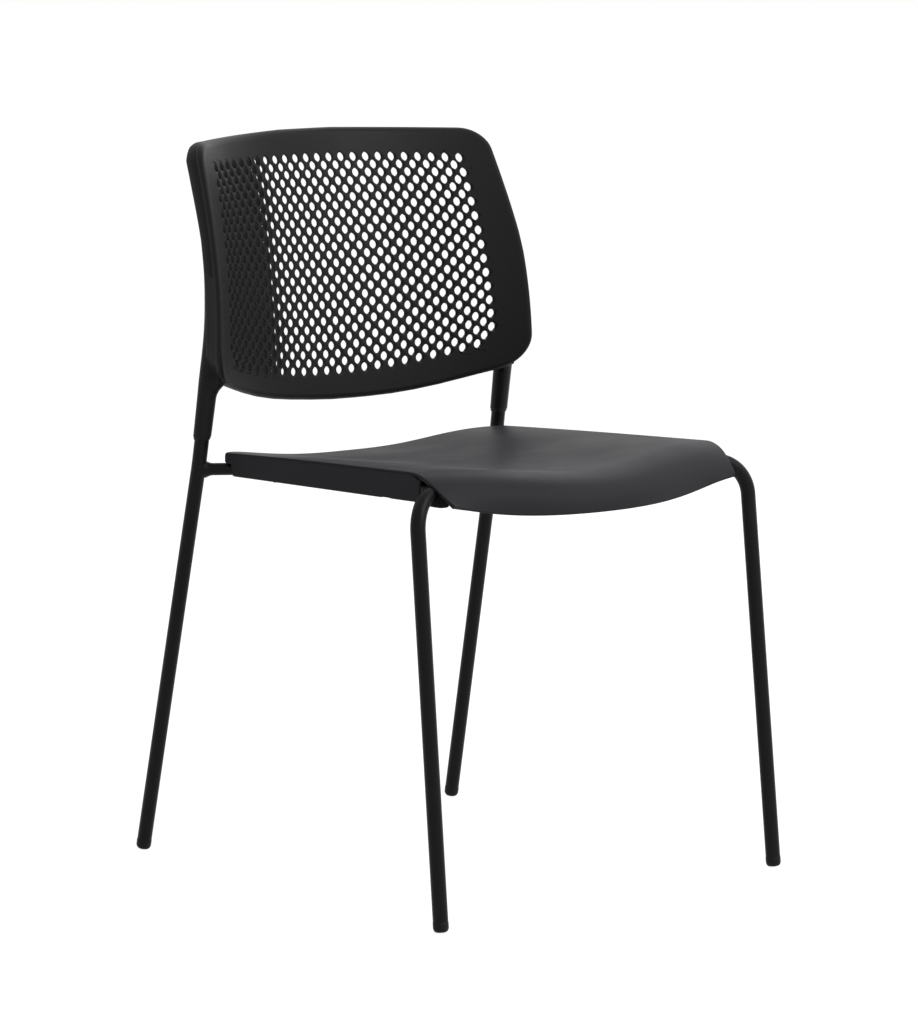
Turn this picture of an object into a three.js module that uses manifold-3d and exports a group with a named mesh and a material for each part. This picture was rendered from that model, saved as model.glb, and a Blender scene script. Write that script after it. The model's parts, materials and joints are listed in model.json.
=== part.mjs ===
// Stacking choir chair: bent steel tube frame, moulded seat shell and a curved perforated back.
// Millimetres, +Z up, the floor is z = 0, the sitter faces -Y and the sitter's left is +X.
import * as THREE from 'three';
import { mergeVertices } from 'three/addons/utils/BufferGeometryUtils.js';
import Module from 'manifold-3d';

const wasm = await Module();
wasm.setup();

// Feet on the floor: from front to rear, and how far each leg spreads outwards
const footDepth = 538.6;
const frontFootFlare = 27;
const rearFootFlare = 11.7;

// Round steel tube of the frame
const tubeDiameter = 16;
const tubeWall = 1.5;
const crossTubeDiameter = 10;
const crossTubeWall = 1.2;
const weldGap = 0.3;
const slideGap = 0.3;

// Seat shell
const seatSideHeight = 474.5;
const seatRearDrop = 8.2;
const seatDish = 13.5;
const seatRearDish = 17.5;
const seatCentreRise = 1.5;
const seatThickness = 4.5;
const seatFrontWidth = 436;
const seatRearWidth = 410.8;
const seatRearY = 138;
const seatRearBow = 32;
const seatCrestSideY = -186;
const seatCrestBow = 26;
const seatSkirtRearSetIn = 6;
const seatSkirtFrontReach = 9;
const seatRearFlange = 9;
const seatRearRoll = 4;
const seatRearCorner = 8;
const seatLipReach = 55;
const seatLipSideDrop = 27;
const seatLipCentreDrop = 37;
const seatLipTaper = 18;
const skirtWall = 3.2;
const skirtFrontDepth = 29;
const skirtRearDepth = 24.5;
const skirtRearStep = 9;
const skirtRearStepLength = 12;
const stackNotchSetBack = 50;
const stackNotchRadius = 8;
const stackNotchHeight = 5;
const ribWall = 3;
const ribDepth = 12;
const ribLength = 170;
const ribCentreY = -30;
const ribSpan = 130;
const frontRibReach = 2;
const frontRibSpan = 300;

// Seat rails, one bent tube with each front leg
const railDrop = 19.5;
const shoulderReach = 23.9;
const frontLegSplay = 4.7;
const railFrontInset = 46;
const railRearInset = 27.4;
const railFrontReach = 14;
const railRearSetIn = 13;
const shoulderBendRadius = 40;
const elbowBendRadius = 38;
const tailBendRadius = 40;

// Cross tubes between the rails
const frontCrossSetBack = 50;
const rearCrossSetIn = 33;
const crossTubeSeatGap = 0.8;

// Rear legs, which run on as the uprights of the back
const kneeRise = 3.7;
const kneeFlare = 14.7;
const kneeSetBack = 35.5;
const kneeBendRadius = 200;
const waistHeightShare = 0.6986;
const waistForwardShare = 0.1657;
const waistInset = 9.5;
const waistBendShare = 3.41;
const uprightTopFall = 73.5;
const uprightTopFlare = 1.2;
const uprightTopBackShare = 0.3841;

// Outline of the back, seen from the front. Shares of height are of the way from its base to its top.
const seatBackGap = 31.5;
const backHeight = 309.5;
const backTopFall = 7.5;
const backTopInset = 8.6;
const backSideHeightShare = 0.5622;
const backSideFlare = 13;
const backLowHeightShare = 0.1131;
const backLowFlare = 20.5;
const backSillSpanShare = 0.474;
const backSillRise = 2.5;
const backTopCorner = 25;
const backLowCorner = 41;
const backSideBend = 500;
const backSillBend = 260;
const backEdgeBend = 900;

// Front face of the back: its profile at mid width and its radius in plan
const backMidHeightShare = 0.4976;
const backSideForward = 4.1;
const backProfileReachShare = 0.3877;
const backLeanShare = 0.1558;
const backBowShare = 0.0342;
const backWaistHeightShare = 0.5299;
const backWaistRadiusShare = 0.6993;
const backRadiusReachShare = 0.3554;
const backRadiusGrowth = 26;

// Back panel
const panelThickness = 4;
const panelEdgeInset = 5;
const panelEdgeRound = 1.5;
const panelEdgeDepth = 4;
const panelLipDepth = 5.5;
const panelLipWall = 3;
const panelBossDiameter = 9;
const panelBossHeight = 5;

// Perforated field of the back panel
const fieldTopMargin = 35.2;
const fieldBaseMargin = 32;
const fieldTopInset = 32.5;
const fieldMidInset = 36.5;
const fieldBaseInset = 39.2;
const fieldSideFallShare = 0.0169;
const fieldMidLiftShare = 0.0347;
const fieldBaseLiftShare = 0.1127;
const fieldSideSqueeze = 10.5;
const holeRowPitch = 15.14;
const holeColumnPitchShare = 1.816;
const holeDiameterShare = 1.123;
const holeSides = 6;

// Back frame behind the panel, with a sleeve over each upright
const frameGap = 0.3;
const frameInset = 3.4;
const frameWidth = 17;
const frameDepth = 7;
const frameSideDepth = 12;
const frameSideTaper = 42;
const frameChamfer = 2;
const sleeveDiameter = 22;
const socketDiameter = 19.2;
const socketDrop = 28;
const sleeveStartRise = 22;
const sleeveCapThickness = 4;
const sleeveStep = 1.2;
const sleeveStepHeight = 3;

// Seat tabs, screws, glides and bumpers
const tabLength = 30;
const tabWidth = 24;
const tabThickness = 2.5;
const tabRise = 1;
const tabFrontSetBack = 38;
const tabRearSetIn = 37;
const tabHoleInset = 11;
const bossDiameter = 12;
const bossHoleDepth = 9;
const screwDiameter = 4;
const screwHoleGap = 0.4;
const screwHeadDiameter = 8.4;
const screwHeadHeight = 2.6;
const screwSeatGap = 0.3;
const panelScrewLength = 8;
const panelScrewInset = 61.5;
const panelScrewTopMargin = 18.5;
const panelScrewBaseMargin = 27;
const lockScrewRise = 28;
const lockScrewReach = 5;
const glideDiameter = 17;
const glideHeight = 12;
const glideDome = 5;
const glideStemLength = 20;
const glideFlatDepth = 0.6;
const rearBumperLength = 20;
const frontBumperLength = 8;
const bumperWall = 3;
const frontBumperFoot = 6;
const rearBumperFoot = 3.2;
const bumperFootWidth = 9;
const rearBumperSetIn = 25;
const cutOverrun = 20;

// How finely round forms are drawn
const tubeSides = 12;
const turnPerRing = THREE.MathUtils.degToRad(16);
const turnPerEdge = THREE.MathUtils.degToRad(14);
const smallRoundSides = 10;
const backEdgeStep = 24;
const mergeTolerance = 0.02;
const seatColumnCount = 16;
const seatTopStationCount = 4;
const seatLipStationCount = 5;

// Worked out from the sizes above
const tubeRadius = tubeDiameter / 2;
const crossTubeRadius = crossTubeDiameter / 2;
const frontFootY = -footDepth / 2;
const rearFootY = footDepth / 2;
const frontFootSpan = seatFrontWidth + 2 * frontFootFlare;
const seatCrestCentreY = seatCrestSideY - seatCrestBow;
const seatSkirtRearY = seatRearY - seatSkirtRearSetIn;
const seatRearMiddleY = seatRearY + seatRearBow;
const seatSkirtMiddleY = seatRearMiddleY - seatSkirtRearSetIn;
const seatSkirtFrontY = seatCrestSideY - seatSkirtFrontReach;
const stackNotchY = seatSkirtFrontY + stackNotchSetBack;
const frontRibY = seatCrestSideY - frontRibReach;
const railFrontSpan = seatFrontWidth - 2 * railFrontInset;
const railRearSpan = seatRearWidth - 2 * railRearInset;
const railFrontY = seatCrestSideY - railFrontReach;
const railRearY = seatRearY - railRearSetIn;
const frontCrossY = railFrontY + frontCrossSetBack;
const rearCrossY = railRearY - rearCrossSetIn;
const tabFrontY = frontCrossY + tabFrontSetBack;
const tabRearY = rearCrossY - tabRearSetIn;
const rearBumperY = tabRearY - rearBumperSetIn;
const backBaseHeight = seatSideHeight + seatBackGap;
const backTopHeight = backBaseHeight + backHeight;
const kneeSpan = seatRearWidth + 2 * kneeFlare;
const kneeY = seatRearY + kneeSetBack;
const kneeHeight = railHeight(seatRearY) + kneeRise;
const rearFootSpan = kneeSpan + 2 * rearFootFlare;
const backTopSpan = kneeSpan - 2 * backTopInset;
const backSideSpan = backTopSpan + 2 * backSideFlare;
const backLowSpan = backTopSpan + 2 * backLowFlare;
const backSillSpan = backLowSpan * backSillSpanShare;
const uprightTopHeight = backTopHeight - uprightTopFall;
const uprightTopSpan = backTopSpan + 2 * uprightTopFlare;
const waistHeight = kneeHeight + (uprightTopHeight - kneeHeight) * waistHeightShare;
const waistSpan = backSideSpan - 2 * waistInset;
const waistY = kneeY - (waistHeight - kneeHeight) * waistForwardShare;
const waistBendRadius = (uprightTopHeight - waistHeight) * waistBendShare;
const uprightTopY = waistY + (uprightTopHeight - waistHeight) * uprightTopBackShare;
const backSideHeight = backBaseHeight + backHeight * backSideHeightShare;
const backLowHeight = backBaseHeight + backHeight * backLowHeightShare;
const backSillHeight = backBaseHeight + backSillRise;
const backMidHeight = backBaseHeight + backHeight * backMidHeightShare;
const backProfileReach = backHeight * backProfileReachShare;
const backLean = backProfileReach * backLeanShare;
const backBow = backProfileReach * backBowShare;
const backWaistHeight = backBaseHeight + backHeight * backWaistHeightShare;
const backWaistRadius = backSideSpan * backWaistRadiusShare;
const backHollow = backWaistRadius - Math.sqrt(backWaistRadius ** 2 - (waistSpan / 2) ** 2);
const backMidY = waistY - backSideForward + backHollow;
const backRadiusReach = backHeight * backRadiusReachShare;
const fieldTopHeight = backTopHeight - fieldTopMargin;
const fieldBaseHeight = backBaseHeight + fieldBaseMargin;
const fieldHeight = fieldTopHeight - fieldBaseHeight;
const fieldTopSpan = backTopSpan - 2 * fieldTopInset;
const fieldMidSpan = backSideSpan - 2 * fieldMidInset;
const fieldBaseSpan = backLowSpan - 2 * fieldBaseInset;
const fieldSideFall = fieldHeight * fieldSideFallShare;
const fieldMidLift = fieldHeight * fieldMidLiftShare;
const fieldBaseLift = fieldHeight * fieldBaseLiftShare;
const holeRowCount = Math.round(fieldHeight / holeRowPitch) + 1;
const holeColumnCount = Math.round(fieldTopSpan / (holeRowPitch * holeColumnPitchShare)) + 1;
const holeDiameter = holeRowPitch * holeDiameterShare;
const socketEndHeight = backBaseHeight - socketDrop;
const sleeveStartHeight = backBaseHeight + sleeveStartRise;
const panelScrewSpan = backTopSpan - 2 * panelScrewInset;
const panelScrewTopHeight = backTopHeight - panelScrewTopMargin;
const panelScrewLowHeight = backBaseHeight + panelScrewBaseMargin;
const lockScrewHeight = socketEndHeight + lockScrewRise;
const left = 1;
const right = -1;

function material(color, roughness, metalness) {
  return new THREE.MeshStandardMaterial({ color, roughness, metalness });
}

function tubePaint() {
  return material(0x1d1d1f, 0.45, 0.2);
}

function seatPlastic() {
  return material(0x3a3a3c, 0.62, 0);
}

function panelPlastic() {
  return material(0x333335, 0.6, 0);
}

function framePlastic() {
  return material(0x262628, 0.6, 0);
}

function screwSteel() {
  return material(0x55565a, 0.4, 0.9);
}

function glidePlastic() {
  return material(0x161617, 0.55, 0);
}

// Turns a closed geometry so that its faces point out
function outward(geometry) {
  const place = geometry.attributes.position;
  const index = geometry.index.array;
  const a = new THREE.Vector3();
  const b = new THREE.Vector3();
  const c = new THREE.Vector3();
  let volume = 0;
  for (let i = 0; i < index.length; i += 3) {
    a.fromBufferAttribute(place, index[i]);
    b.fromBufferAttribute(place, index[i + 1]);
    c.fromBufferAttribute(place, index[i + 2]);
    volume += a.dot(b.cross(c));
  }
  if (volume < 0) {
    for (let i = 0; i < index.length; i += 3) {
      [index[i], index[i + 1]] = [index[i + 1], index[i]];
    }
  }
  return geometry;
}

// A closed geometry as a solid for joining and cutting
function solid(geometry) {
  const bare = geometry.clone();
  bare.deleteAttribute('normal');
  bare.deleteAttribute('uv');
  const merged = outward(mergeVertices(bare));
  return new wasm.Manifold(new wasm.Mesh({
    numProp: 3,
    vertProperties: new Float32Array(merged.attributes.position.array),
    triVerts: new Uint32Array(merged.index.array),
  }));
}

// The main body of a cut solid, without the crumbs a cut can leave and with needless edges merged
function tidied(body) {
  const bodies = body.simplify(mergeTolerance).decompose();
  return bodies.reduce((best, next) => (next.volume() > best.volume() ? next : best));
}

function geometryOf(body) {
  const mesh = tidied(body).getMesh();
  const geometry = new THREE.BufferGeometry();
  geometry.setAttribute('position', new THREE.BufferAttribute(new Float32Array(mesh.vertProperties), 3));
  geometry.setIndex(new THREE.BufferAttribute(new Uint32Array(mesh.triVerts), 1));
  geometry.computeVertexNormals();
  return geometry;
}

function part(name, body, finish) {
  const mesh = new THREE.Mesh(geometryOf(body), finish);
  mesh.name = name;
  return mesh;
}

// A route through corners, each rounded by its own bend radius: one ring at each end and along each bend
function bentRoute(corners, radii, turn = turnPerRing) {
  const rings = [{ point: corners[0], along: corners[1].clone().sub(corners[0]).normalize() }];
  for (let i = 1; i < corners.length - 1; i++) {
    const before = corners[i].clone().sub(corners[i - 1]).normalize();
    const after = corners[i + 1].clone().sub(corners[i]).normalize();
    const angle = before.angleTo(after);
    const count = Math.max(1, Math.ceil(angle / turn));
    const start = corners[i].clone().addScaledVector(before, -radii[i - 1] * Math.tan(angle / 2));
    const inward = after.clone().addScaledVector(before, -after.dot(before)).normalize();
    for (let k = 0; k <= count; k++) {
      const swing = (angle * k) / count;
      const point = start.clone()
        .addScaledVector(before, radii[i - 1] * Math.sin(swing))
        .addScaledVector(inward, radii[i - 1] * (1 - Math.cos(swing)));
      const along = before.clone().multiplyScalar(Math.cos(swing)).addScaledVector(inward, Math.sin(swing));
      rings.push({ point, along });
    }
  }
  const last = corners.length - 1;
  rings.push({ point: corners[last], along: corners[last].clone().sub(corners[last - 1]).normalize() });
  return rings;
}

// The place on a rising route at one height
function routeAt(rings, height) {
  let i = 1;
  while (i < rings.length - 1 && rings[i].point.z < height) i++;
  const low = rings[i - 1];
  const high = rings[i];
  const share = (height - low.point.z) / (high.point.z - low.point.z);
  return {
    point: low.point.clone().lerp(high.point, share),
    along: low.along.clone().lerp(high.along, THREE.MathUtils.clamp(share, 0, 1)).normalize(),
  };
}

// The stretch of a rising route between two heights
function routeBetween(rings, from, to) {
  const inside = rings.filter((ring) => ring.point.z > from && ring.point.z < to);
  return [routeAt(rings, from), ...inside, routeAt(rings, to)];
}

// A curve that stops at each ring of a route in turn
class RingCurve extends THREE.Curve {
  constructor(rings) {
    super();
    this.rings = rings;
  }

  ringAt(share) {
    return this.rings[Math.round(share * (this.rings.length - 1))];
  }

  getPoint(share, target = new THREE.Vector3()) {
    return target.copy(this.ringAt(share).point);
  }

  getPointAt(share, target) {
    return this.getPoint(share, target);
  }

  getTangentAt(share, target = new THREE.Vector3()) {
    return target.copy(this.ringAt(share).along);
  }
}

// A round bar or, with a bore, a tube along a route
function tubeAlong(rings, radius, bore = 0, sides = tubeSides) {
  const section = new THREE.Shape().absarc(0, 0, radius, 0, Math.PI * 2);
  if (bore > 0) section.holes.push(new THREE.Path().absarc(0, 0, bore, 0, Math.PI * 2, true));
  return solid(new THREE.ExtrudeGeometry(section, {
    steps: rings.length - 1,
    curveSegments: sides / 2,
    extrudePath: new RingCurve(rings),
  }));
}

// A straight route between two points
function straight(from, to) {
  return bentRoute([from, to], []);
}

// A solid turned about an axis: its profile lists radius and height
function turned(profile, from, along, sides = smallRoundSides) {
  const geometry = new THREE.LatheGeometry(profile.map(([r, h]) => new THREE.Vector2(r, h)), sides);
  const up = new THREE.Vector3(0, 1, 0);
  geometry.applyQuaternion(new THREE.Quaternion().setFromUnitVectors(up, along));
  geometry.translate(from.x, from.y, from.z);
  return solid(geometry);
}

// A closed ring whose section is a round of equal loops, each joined to the next and the last to the first
function loopBody(loops) {
  const count = loops[0].length;
  const index = [];
  for (let i = 0; i < loops.length; i++) {
    const near = i * count;
    const far = ((i + 1) % loops.length) * count;
    for (let k = 0; k < count; k++) {
      const next = (k + 1) % count;
      index.push(near + k, near + next, far + next, near + k, far + next, far + k);
    }
  }
  const geometry = new THREE.BufferGeometry().setFromPoints(loops.flat());
  geometry.setIndex(index);
  return solid(geometry);
}

// Height of the seat's side edge along the chair: a straight line that climbs to the front
function seatSideLine(y) {
  const share = (y - seatCrestSideY) / (seatRearY - seatCrestSideY);
  return seatSideHeight - seatRearDrop * share;
}

// Height of the seat's top in the middle of its width
function seatMiddleHeight(y) {
  const share = (seatSkirtMiddleY - y) / (seatSkirtMiddleY - seatCrestCentreY);
  const sideY = THREE.MathUtils.lerp(seatSkirtRearY, seatCrestSideY, share);
  const dish = THREE.MathUtils.lerp(seatRearDish, seatDish, share);
  return seatSideLine(sideY) - dish - seatCentreRise * Math.sin(Math.PI * share);
}

function railHeight(y) {
  return seatSideLine(y) - railDrop;
}

// Routes of the frame

function rearLegRoute(side) {
  return bentRoute([
    new THREE.Vector3((side * rearFootSpan) / 2, rearFootY, 0),
    new THREE.Vector3((side * kneeSpan) / 2, kneeY, kneeHeight),
    new THREE.Vector3((side * waistSpan) / 2, waistY, waistHeight),
    new THREE.Vector3((side * uprightTopSpan) / 2, uprightTopY, uprightTopHeight),
  ], [kneeBendRadius, waistBendRadius]);
}

function frontLegRoute(side) {
  const join = routeAt(rearLegRoute(side), railHeight(seatRearY)).point;
  const railTop = railHeight(railFrontY);
  return bentRoute([
    new THREE.Vector3((side * frontFootSpan) / 2, frontFootY, 0),
    new THREE.Vector3(side * (frontFootSpan / 2 - frontLegSplay), railFrontY - shoulderReach, railTop),
    new THREE.Vector3((side * railFrontSpan) / 2, railFrontY, railTop),
    new THREE.Vector3((side * railRearSpan) / 2, railRearY, railHeight(railRearY)),
    join,
  ], [shoulderBendRadius, elbowBendRadius, tailBendRadius]);
}

// Half the distance between the rails at one place along the chair
function railHalfSpan(y) {
  const share = (y - railFrontY) / (railRearY - railFrontY);
  return THREE.MathUtils.lerp(railFrontSpan, railRearSpan, share) / 2;
}

// The leg starts where its glide's shoulder ends
function aboveGlide(rings) {
  const [{ point, along }] = rings;
  const lift = (glideHeight + slideGap) / along.z;
  return [{ point: point.clone().addScaledVector(along, lift), along }, ...rings.slice(1)];
}

function rearLeg(side) {
  const rings = rearLegRoute(side);
  const leg = tubeAlong(aboveGlide(rings), tubeRadius, tubeRadius - tubeWall);
  return leg.subtract(lockScrewHole(side));
}

function frontLeg(side) {
  const leg = tubeAlong(aboveGlide(frontLegRoute(side)), tubeRadius, tubeRadius - tubeWall);
  const uprightRun = routeBetween(rearLegRoute(side), kneeHeight / 2, waistHeight);
  const upright = tubeAlong(uprightRun, tubeRadius + weldGap);
  return leg.subtract(upright);
}

function crossTube(y) {
  const underside = seatMiddleHeight(y) - seatThickness;
  const height = underside - crossTubeSeatGap - crossTubeRadius;
  const half = railHalfSpan(y);
  const tube = tubeAlong(
    straight(new THREE.Vector3(-half, y, height), new THREE.Vector3(half, y, height)),
    crossTubeRadius,
    crossTubeRadius - crossTubeWall,
  );
  return tube.subtract(railBlock(right)).subtract(railBlock(left));
}

// The rail with its weld gap, for coping what is welded to it
function railBlock(side) {
  return tubeAlong(frontLegRoute(side), tubeRadius + weldGap);
}

// Seat shell

function seatHalfWidth(y) {
  const share = (y - seatCrestSideY) / (seatRearY - seatCrestSideY);
  return THREE.MathUtils.lerp(seatFrontWidth, seatRearWidth, share) / 2;
}

// Share of the way from the dished middle to the raised side
function dishShare(across) {
  return Math.sin((Math.PI / 2) * Math.min(Math.abs(across) / dishWidthShare, 1)) ** dishSharpness;
}
const dishWidthShare = 1.04;
const dishSharpness = 2.8;

// The same share along the bottom of the lip, which stays low until near the sides
function lipShare(across) {
  const [gentle, steep] = lipRiseShares;
  return gentle * across ** 2 + steep * across ** 4;
}
const lipRiseShares = [0.13, 0.87];

// Lip curve as shares of its reach and its drop
const lipControlShares = [[0, 0], [0.62, -0.02], [1.05, 0.22], [1, 1]];

function lipPoint(crestY, crestHeight, reach, drop, share) {
  const curve = new THREE.CubicBezierCurve(...lipControlShares.map(([forward, down]) => (
    new THREE.Vector2(crestY - forward * reach, crestHeight - down * drop)
  )));
  return curve.getPoint(share);
}

// Stations from the rear flange over the top to the bottom of the front lip.
// Each gives the side point, the middle point, the half width and how far down the lip it is.
function seatStations() {
  const stations = [];
  const rearSide = seatSideLine(seatRearY);
  const rearMiddle = rearSide - seatRearDish;
  const add = (sideY, sideHeight, middleY, middleHeight, half, curl = 0) => {
    const side = new THREE.Vector2(sideY, sideHeight);
    const middle = new THREE.Vector2(middleY, middleHeight);
    stations.push({ side, middle, half, curl });
  };
  const rearHalf = seatHalfWidth(seatRearY);
  const flangeHalf = rearHalf - seatRearCorner;
  add(seatRearY, rearSide - seatRearFlange, seatRearMiddleY, rearMiddle - seatRearFlange, flangeHalf);
  add(seatRearY, rearSide - seatRearRoll, seatRearMiddleY, rearMiddle - seatRearRoll, flangeHalf);
  const roll = seatRearRoll * (1 - Math.SQRT1_2);
  add(seatRearY - roll, rearSide - roll, seatRearMiddleY - roll, rearMiddle - roll, flangeHalf + seatRearRoll / 2);
  add(seatRearY - seatRearRoll, rearSide, seatRearMiddleY - seatRearRoll, rearMiddle, rearHalf - seatRearRoll / 2);
  const skirtTop = seatSideLine(seatSkirtRearY);
  add(seatSkirtRearY, skirtTop, seatSkirtMiddleY, rearMiddle, seatHalfWidth(seatSkirtRearY));
  for (let i = 1; i <= seatTopStationCount; i++) {
    const share = i / seatTopStationCount;
    const sideY = THREE.MathUtils.lerp(seatSkirtRearY, seatCrestSideY, share);
    const middleY = THREE.MathUtils.lerp(seatSkirtMiddleY, seatCrestCentreY, share);
    const middleHeight = seatMiddleHeight(middleY);
    add(sideY, seatSideLine(sideY), middleY, middleHeight, seatHalfWidth(sideY));
  }
  const crestHeight = seatSideHeight - seatDish;
  for (let i = 1; i <= seatLipStationCount; i++) {
    const share = i / seatLipStationCount;
    const side = lipPoint(seatCrestSideY, seatSideHeight, seatLipReach, seatLipSideDrop, share);
    const middle = lipPoint(seatCrestCentreY, crestHeight, seatLipReach, seatLipCentreDrop, share);
    const half = seatFrontWidth / 2 - seatLipTaper * share ** 2;
    add(side.x, side.y, middle.x, middle.y, half, share);
  }
  return stations;
}

// Point of the seat's upper face: station place along the seat and share across it
function seatPoint(stations, place, across) {
  const low = Math.min(Math.floor(place), stations.length - 2);
  const share = place - low;
  const side = stations[low].side.clone().lerp(stations[low + 1].side, share);
  const middle = stations[low].middle.clone().lerp(stations[low + 1].middle, share);
  const half = THREE.MathUtils.lerp(stations[low].half, stations[low + 1].half, share);
  const curl = THREE.MathUtils.lerp(stations[low].curl, stations[low + 1].curl, share);
  const blend = middle.lerp(side, THREE.MathUtils.lerp(dishShare(across), lipShare(across), curl));
  return new THREE.Vector3(across * half, blend.x, blend.y);
}

// Slab that follows the seat's upper face between two depths under it
function seatSlab(places, acrosses, top, bottom) {
  const stations = seatStations();
  const nudge = 0.02;
  const grid = (depth) => places.map((place) => acrosses.map((across) => {
    const point = seatPoint(stations, place, across);
    const at = (nextPlace, nextAcross) => seatPoint(stations, Math.max(nextPlace, 0), nextAcross);
    const along = at(place + nudge, across).sub(at(place - nudge, across));
    const over = at(place, across + nudge).sub(at(place, across - nudge));
    const down = over.cross(along).normalize();
    return point.addScaledVector(down, down.z > 0 && place > 1 ? -depth : depth);
  }));
  return gridBody(grid(top), grid(bottom));
}

// Closed body between two grids of points
function gridBody(upper, lower) {
  const rows = upper.length;
  const columns = upper[0].length;
  const points = [...upper.flat(), ...lower.flat()];
  const index = [];
  const under = rows * columns;
  const at = (i, k) => i * columns + k;
  for (let i = 0; i < rows - 1; i++) {
    for (let k = 0; k < columns - 1; k++) {
      const [a, b, c, d] = [at(i, k), at(i, k + 1), at(i + 1, k + 1), at(i + 1, k)];
      index.push(a, b, c, a, c, d, under + c, under + b, under + a, under + d, under + c, under + a);
    }
  }
  const edge = [];
  for (let k = 0; k < columns - 1; k++) edge.push(at(0, k));
  for (let i = 0; i < rows - 1; i++) edge.push(at(i, columns - 1));
  for (let k = columns - 1; k > 0; k--) edge.push(at(rows - 1, k));
  for (let i = rows - 1; i > 0; i--) edge.push(at(i, 0));
  edge.forEach((a, i) => {
    const b = edge[(i + 1) % edge.length];
    index.push(b, a, under + a, b, under + a, under + b);
  });
  const geometry = new THREE.BufferGeometry().setFromPoints(points);
  geometry.setIndex(index);
  return solid(geometry);
}

// Side skirt: an outline seen from the side, carried on the seat's tapering edge
function seatSkirt(side) {
  const top = (y) => seatSideLine(y) - seatThickness / 2;
  const bottom = (y) => {
    const share = (y - seatSkirtFrontY) / (seatSkirtRearY - seatSkirtFrontY);
    return seatSideLine(y) - THREE.MathUtils.lerp(skirtFrontDepth, skirtRearDepth, share);
  };
  const stepY = seatSkirtRearY - skirtRearStepLength;
  const notchBase = bottom(stackNotchY);
  const outline = new THREE.Shape();
  outline.moveTo(seatSkirtFrontY, top(seatSkirtFrontY));
  outline.lineTo(seatSkirtFrontY, bottom(seatSkirtFrontY));
  outline.lineTo(stackNotchY - stackNotchRadius, bottom(stackNotchY - stackNotchRadius));
  for (let i = 1; i < smallRoundSides / 2; i++) {
    const swing = Math.PI * (1 - i / (smallRoundSides / 2));
    const lift = stackNotchHeight * Math.sin(swing);
    outline.lineTo(stackNotchY + stackNotchRadius * Math.cos(swing), notchBase + lift);
  }
  outline.lineTo(stackNotchY + stackNotchRadius, bottom(stackNotchY + stackNotchRadius));
  outline.lineTo(stepY, bottom(stepY));
  outline.lineTo(seatSkirtRearY, seatSideLine(seatSkirtRearY) - skirtRearStep);
  outline.lineTo(seatSkirtRearY, top(seatSkirtRearY));
  const geometry = new THREE.ExtrudeGeometry(outline, { depth: skirtWall, bevelEnabled: false });
  const place = geometry.attributes.position;
  for (let i = 0; i < place.count; i++) {
    const [y, z, inset] = [place.getX(i), place.getY(i), place.getZ(i)];
    place.setXYZ(i, side * (seatHalfWidth(y) - inset), y, z);
  }
  return solid(geometry);
}

const seatPlaceCount = 5 + seatTopStationCount + seatLipStationCount;

function evenly(from, to, count) {
  return Array.from({ length: count + 1 }, (unused, i) => THREE.MathUtils.lerp(from, to, i / count));
}

// Station place whose middle point lies at a given distance along the chair
function seatPlaceAt(y) {
  const stations = seatStations();
  let i = 4;
  while (i < stations.length - 2 && stations[i + 1].middle.x > y) i++;
  return i + (stations[i].middle.x - y) / (stations[i].middle.x - stations[i + 1].middle.x);
}

function seatRib(fromY, toY, fromX, toX) {
  const half = seatHalfWidth((fromY + toY) / 2);
  const lengthwise = Math.abs(toY - fromY) > Math.abs(toX - fromX);
  const places = evenly(seatPlaceAt(fromY), seatPlaceAt(toY), lengthwise ? seatTopStationCount : 1);
  const acrosses = evenly(fromX / half, toX / half, lengthwise ? 1 : seatColumnCount / 2);
  return seatSlab(places, acrosses, seatThickness / 2, ribDepth);
}

function seatUndersideAt(x, y) {
  const stations = seatStations();
  return seatPoint(stations, seatPlaceAt(y), x / seatHalfWidth(y)).z - seatThickness;
}

// Seat tabs: flat steel lugs welded to the inner side of the rails, screwed to the seat's bosses
function tabCorners() {
  const spots = [];
  for (const [end, y] of [['front', tabFrontY], ['rear', tabRearY]]) {
    for (const [hand, side] of [['right', right], ['left', left]]) spots.push({ end, hand, side, y });
  }
  return spots;
}

function tabTop(y) {
  return railHeight(y) + tabRise + tabThickness / 2;
}

function tabHoleX(side, y) {
  return side * (railHalfSpan(y) - tabLength + tabHoleInset);
}

function seatTab({ side, y }) {
  const outer = railHalfSpan(y);
  const plate = new THREE.BoxGeometry(tabLength, tabWidth, tabThickness);
  plate.translate(side * (outer - tabLength / 2), y, tabTop(y) - tabThickness / 2);
  const below = new THREE.Vector3(tabHoleX(side, y), y, tabTop(y) - cutOverrun);
  const hole = screwHole(below, upward, cutOverrun * 2);
  return solid(plate).subtract(railBlock(side)).subtract(hole);
}

function screwHole(from, along, depth, diameter = screwDiameter + 2 * screwHoleGap) {
  const radius = diameter / 2;
  return turned([[0, 0], [radius, 0], [radius, depth], [0, depth]], from, along);
}

// Pan head screw: the head's seat is at the given point and the shank runs along
function screw(seat, along, length) {
  const shank = screwDiameter / 2;
  const head = screwHeadDiameter / 2;
  const crown = screwHeadHeight;
  return turned([
    [0, -crown],
    [head / 2, -crown],
    [head, -crown / 3],
    [head, 0],
    [shank, 0],
    [shank, length - shank],
    [shank / 2, length],
    [0, length],
  ], seat, along);
}

const upward = new THREE.Vector3(0, 0, 1);

function seatScrew({ side, y }) {
  const seat = new THREE.Vector3(tabHoleX(side, y), y, tabTop(y) - tabThickness - screwSeatGap);
  return screw(seat, upward, tabThickness + bossHoleDepth);
}

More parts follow.
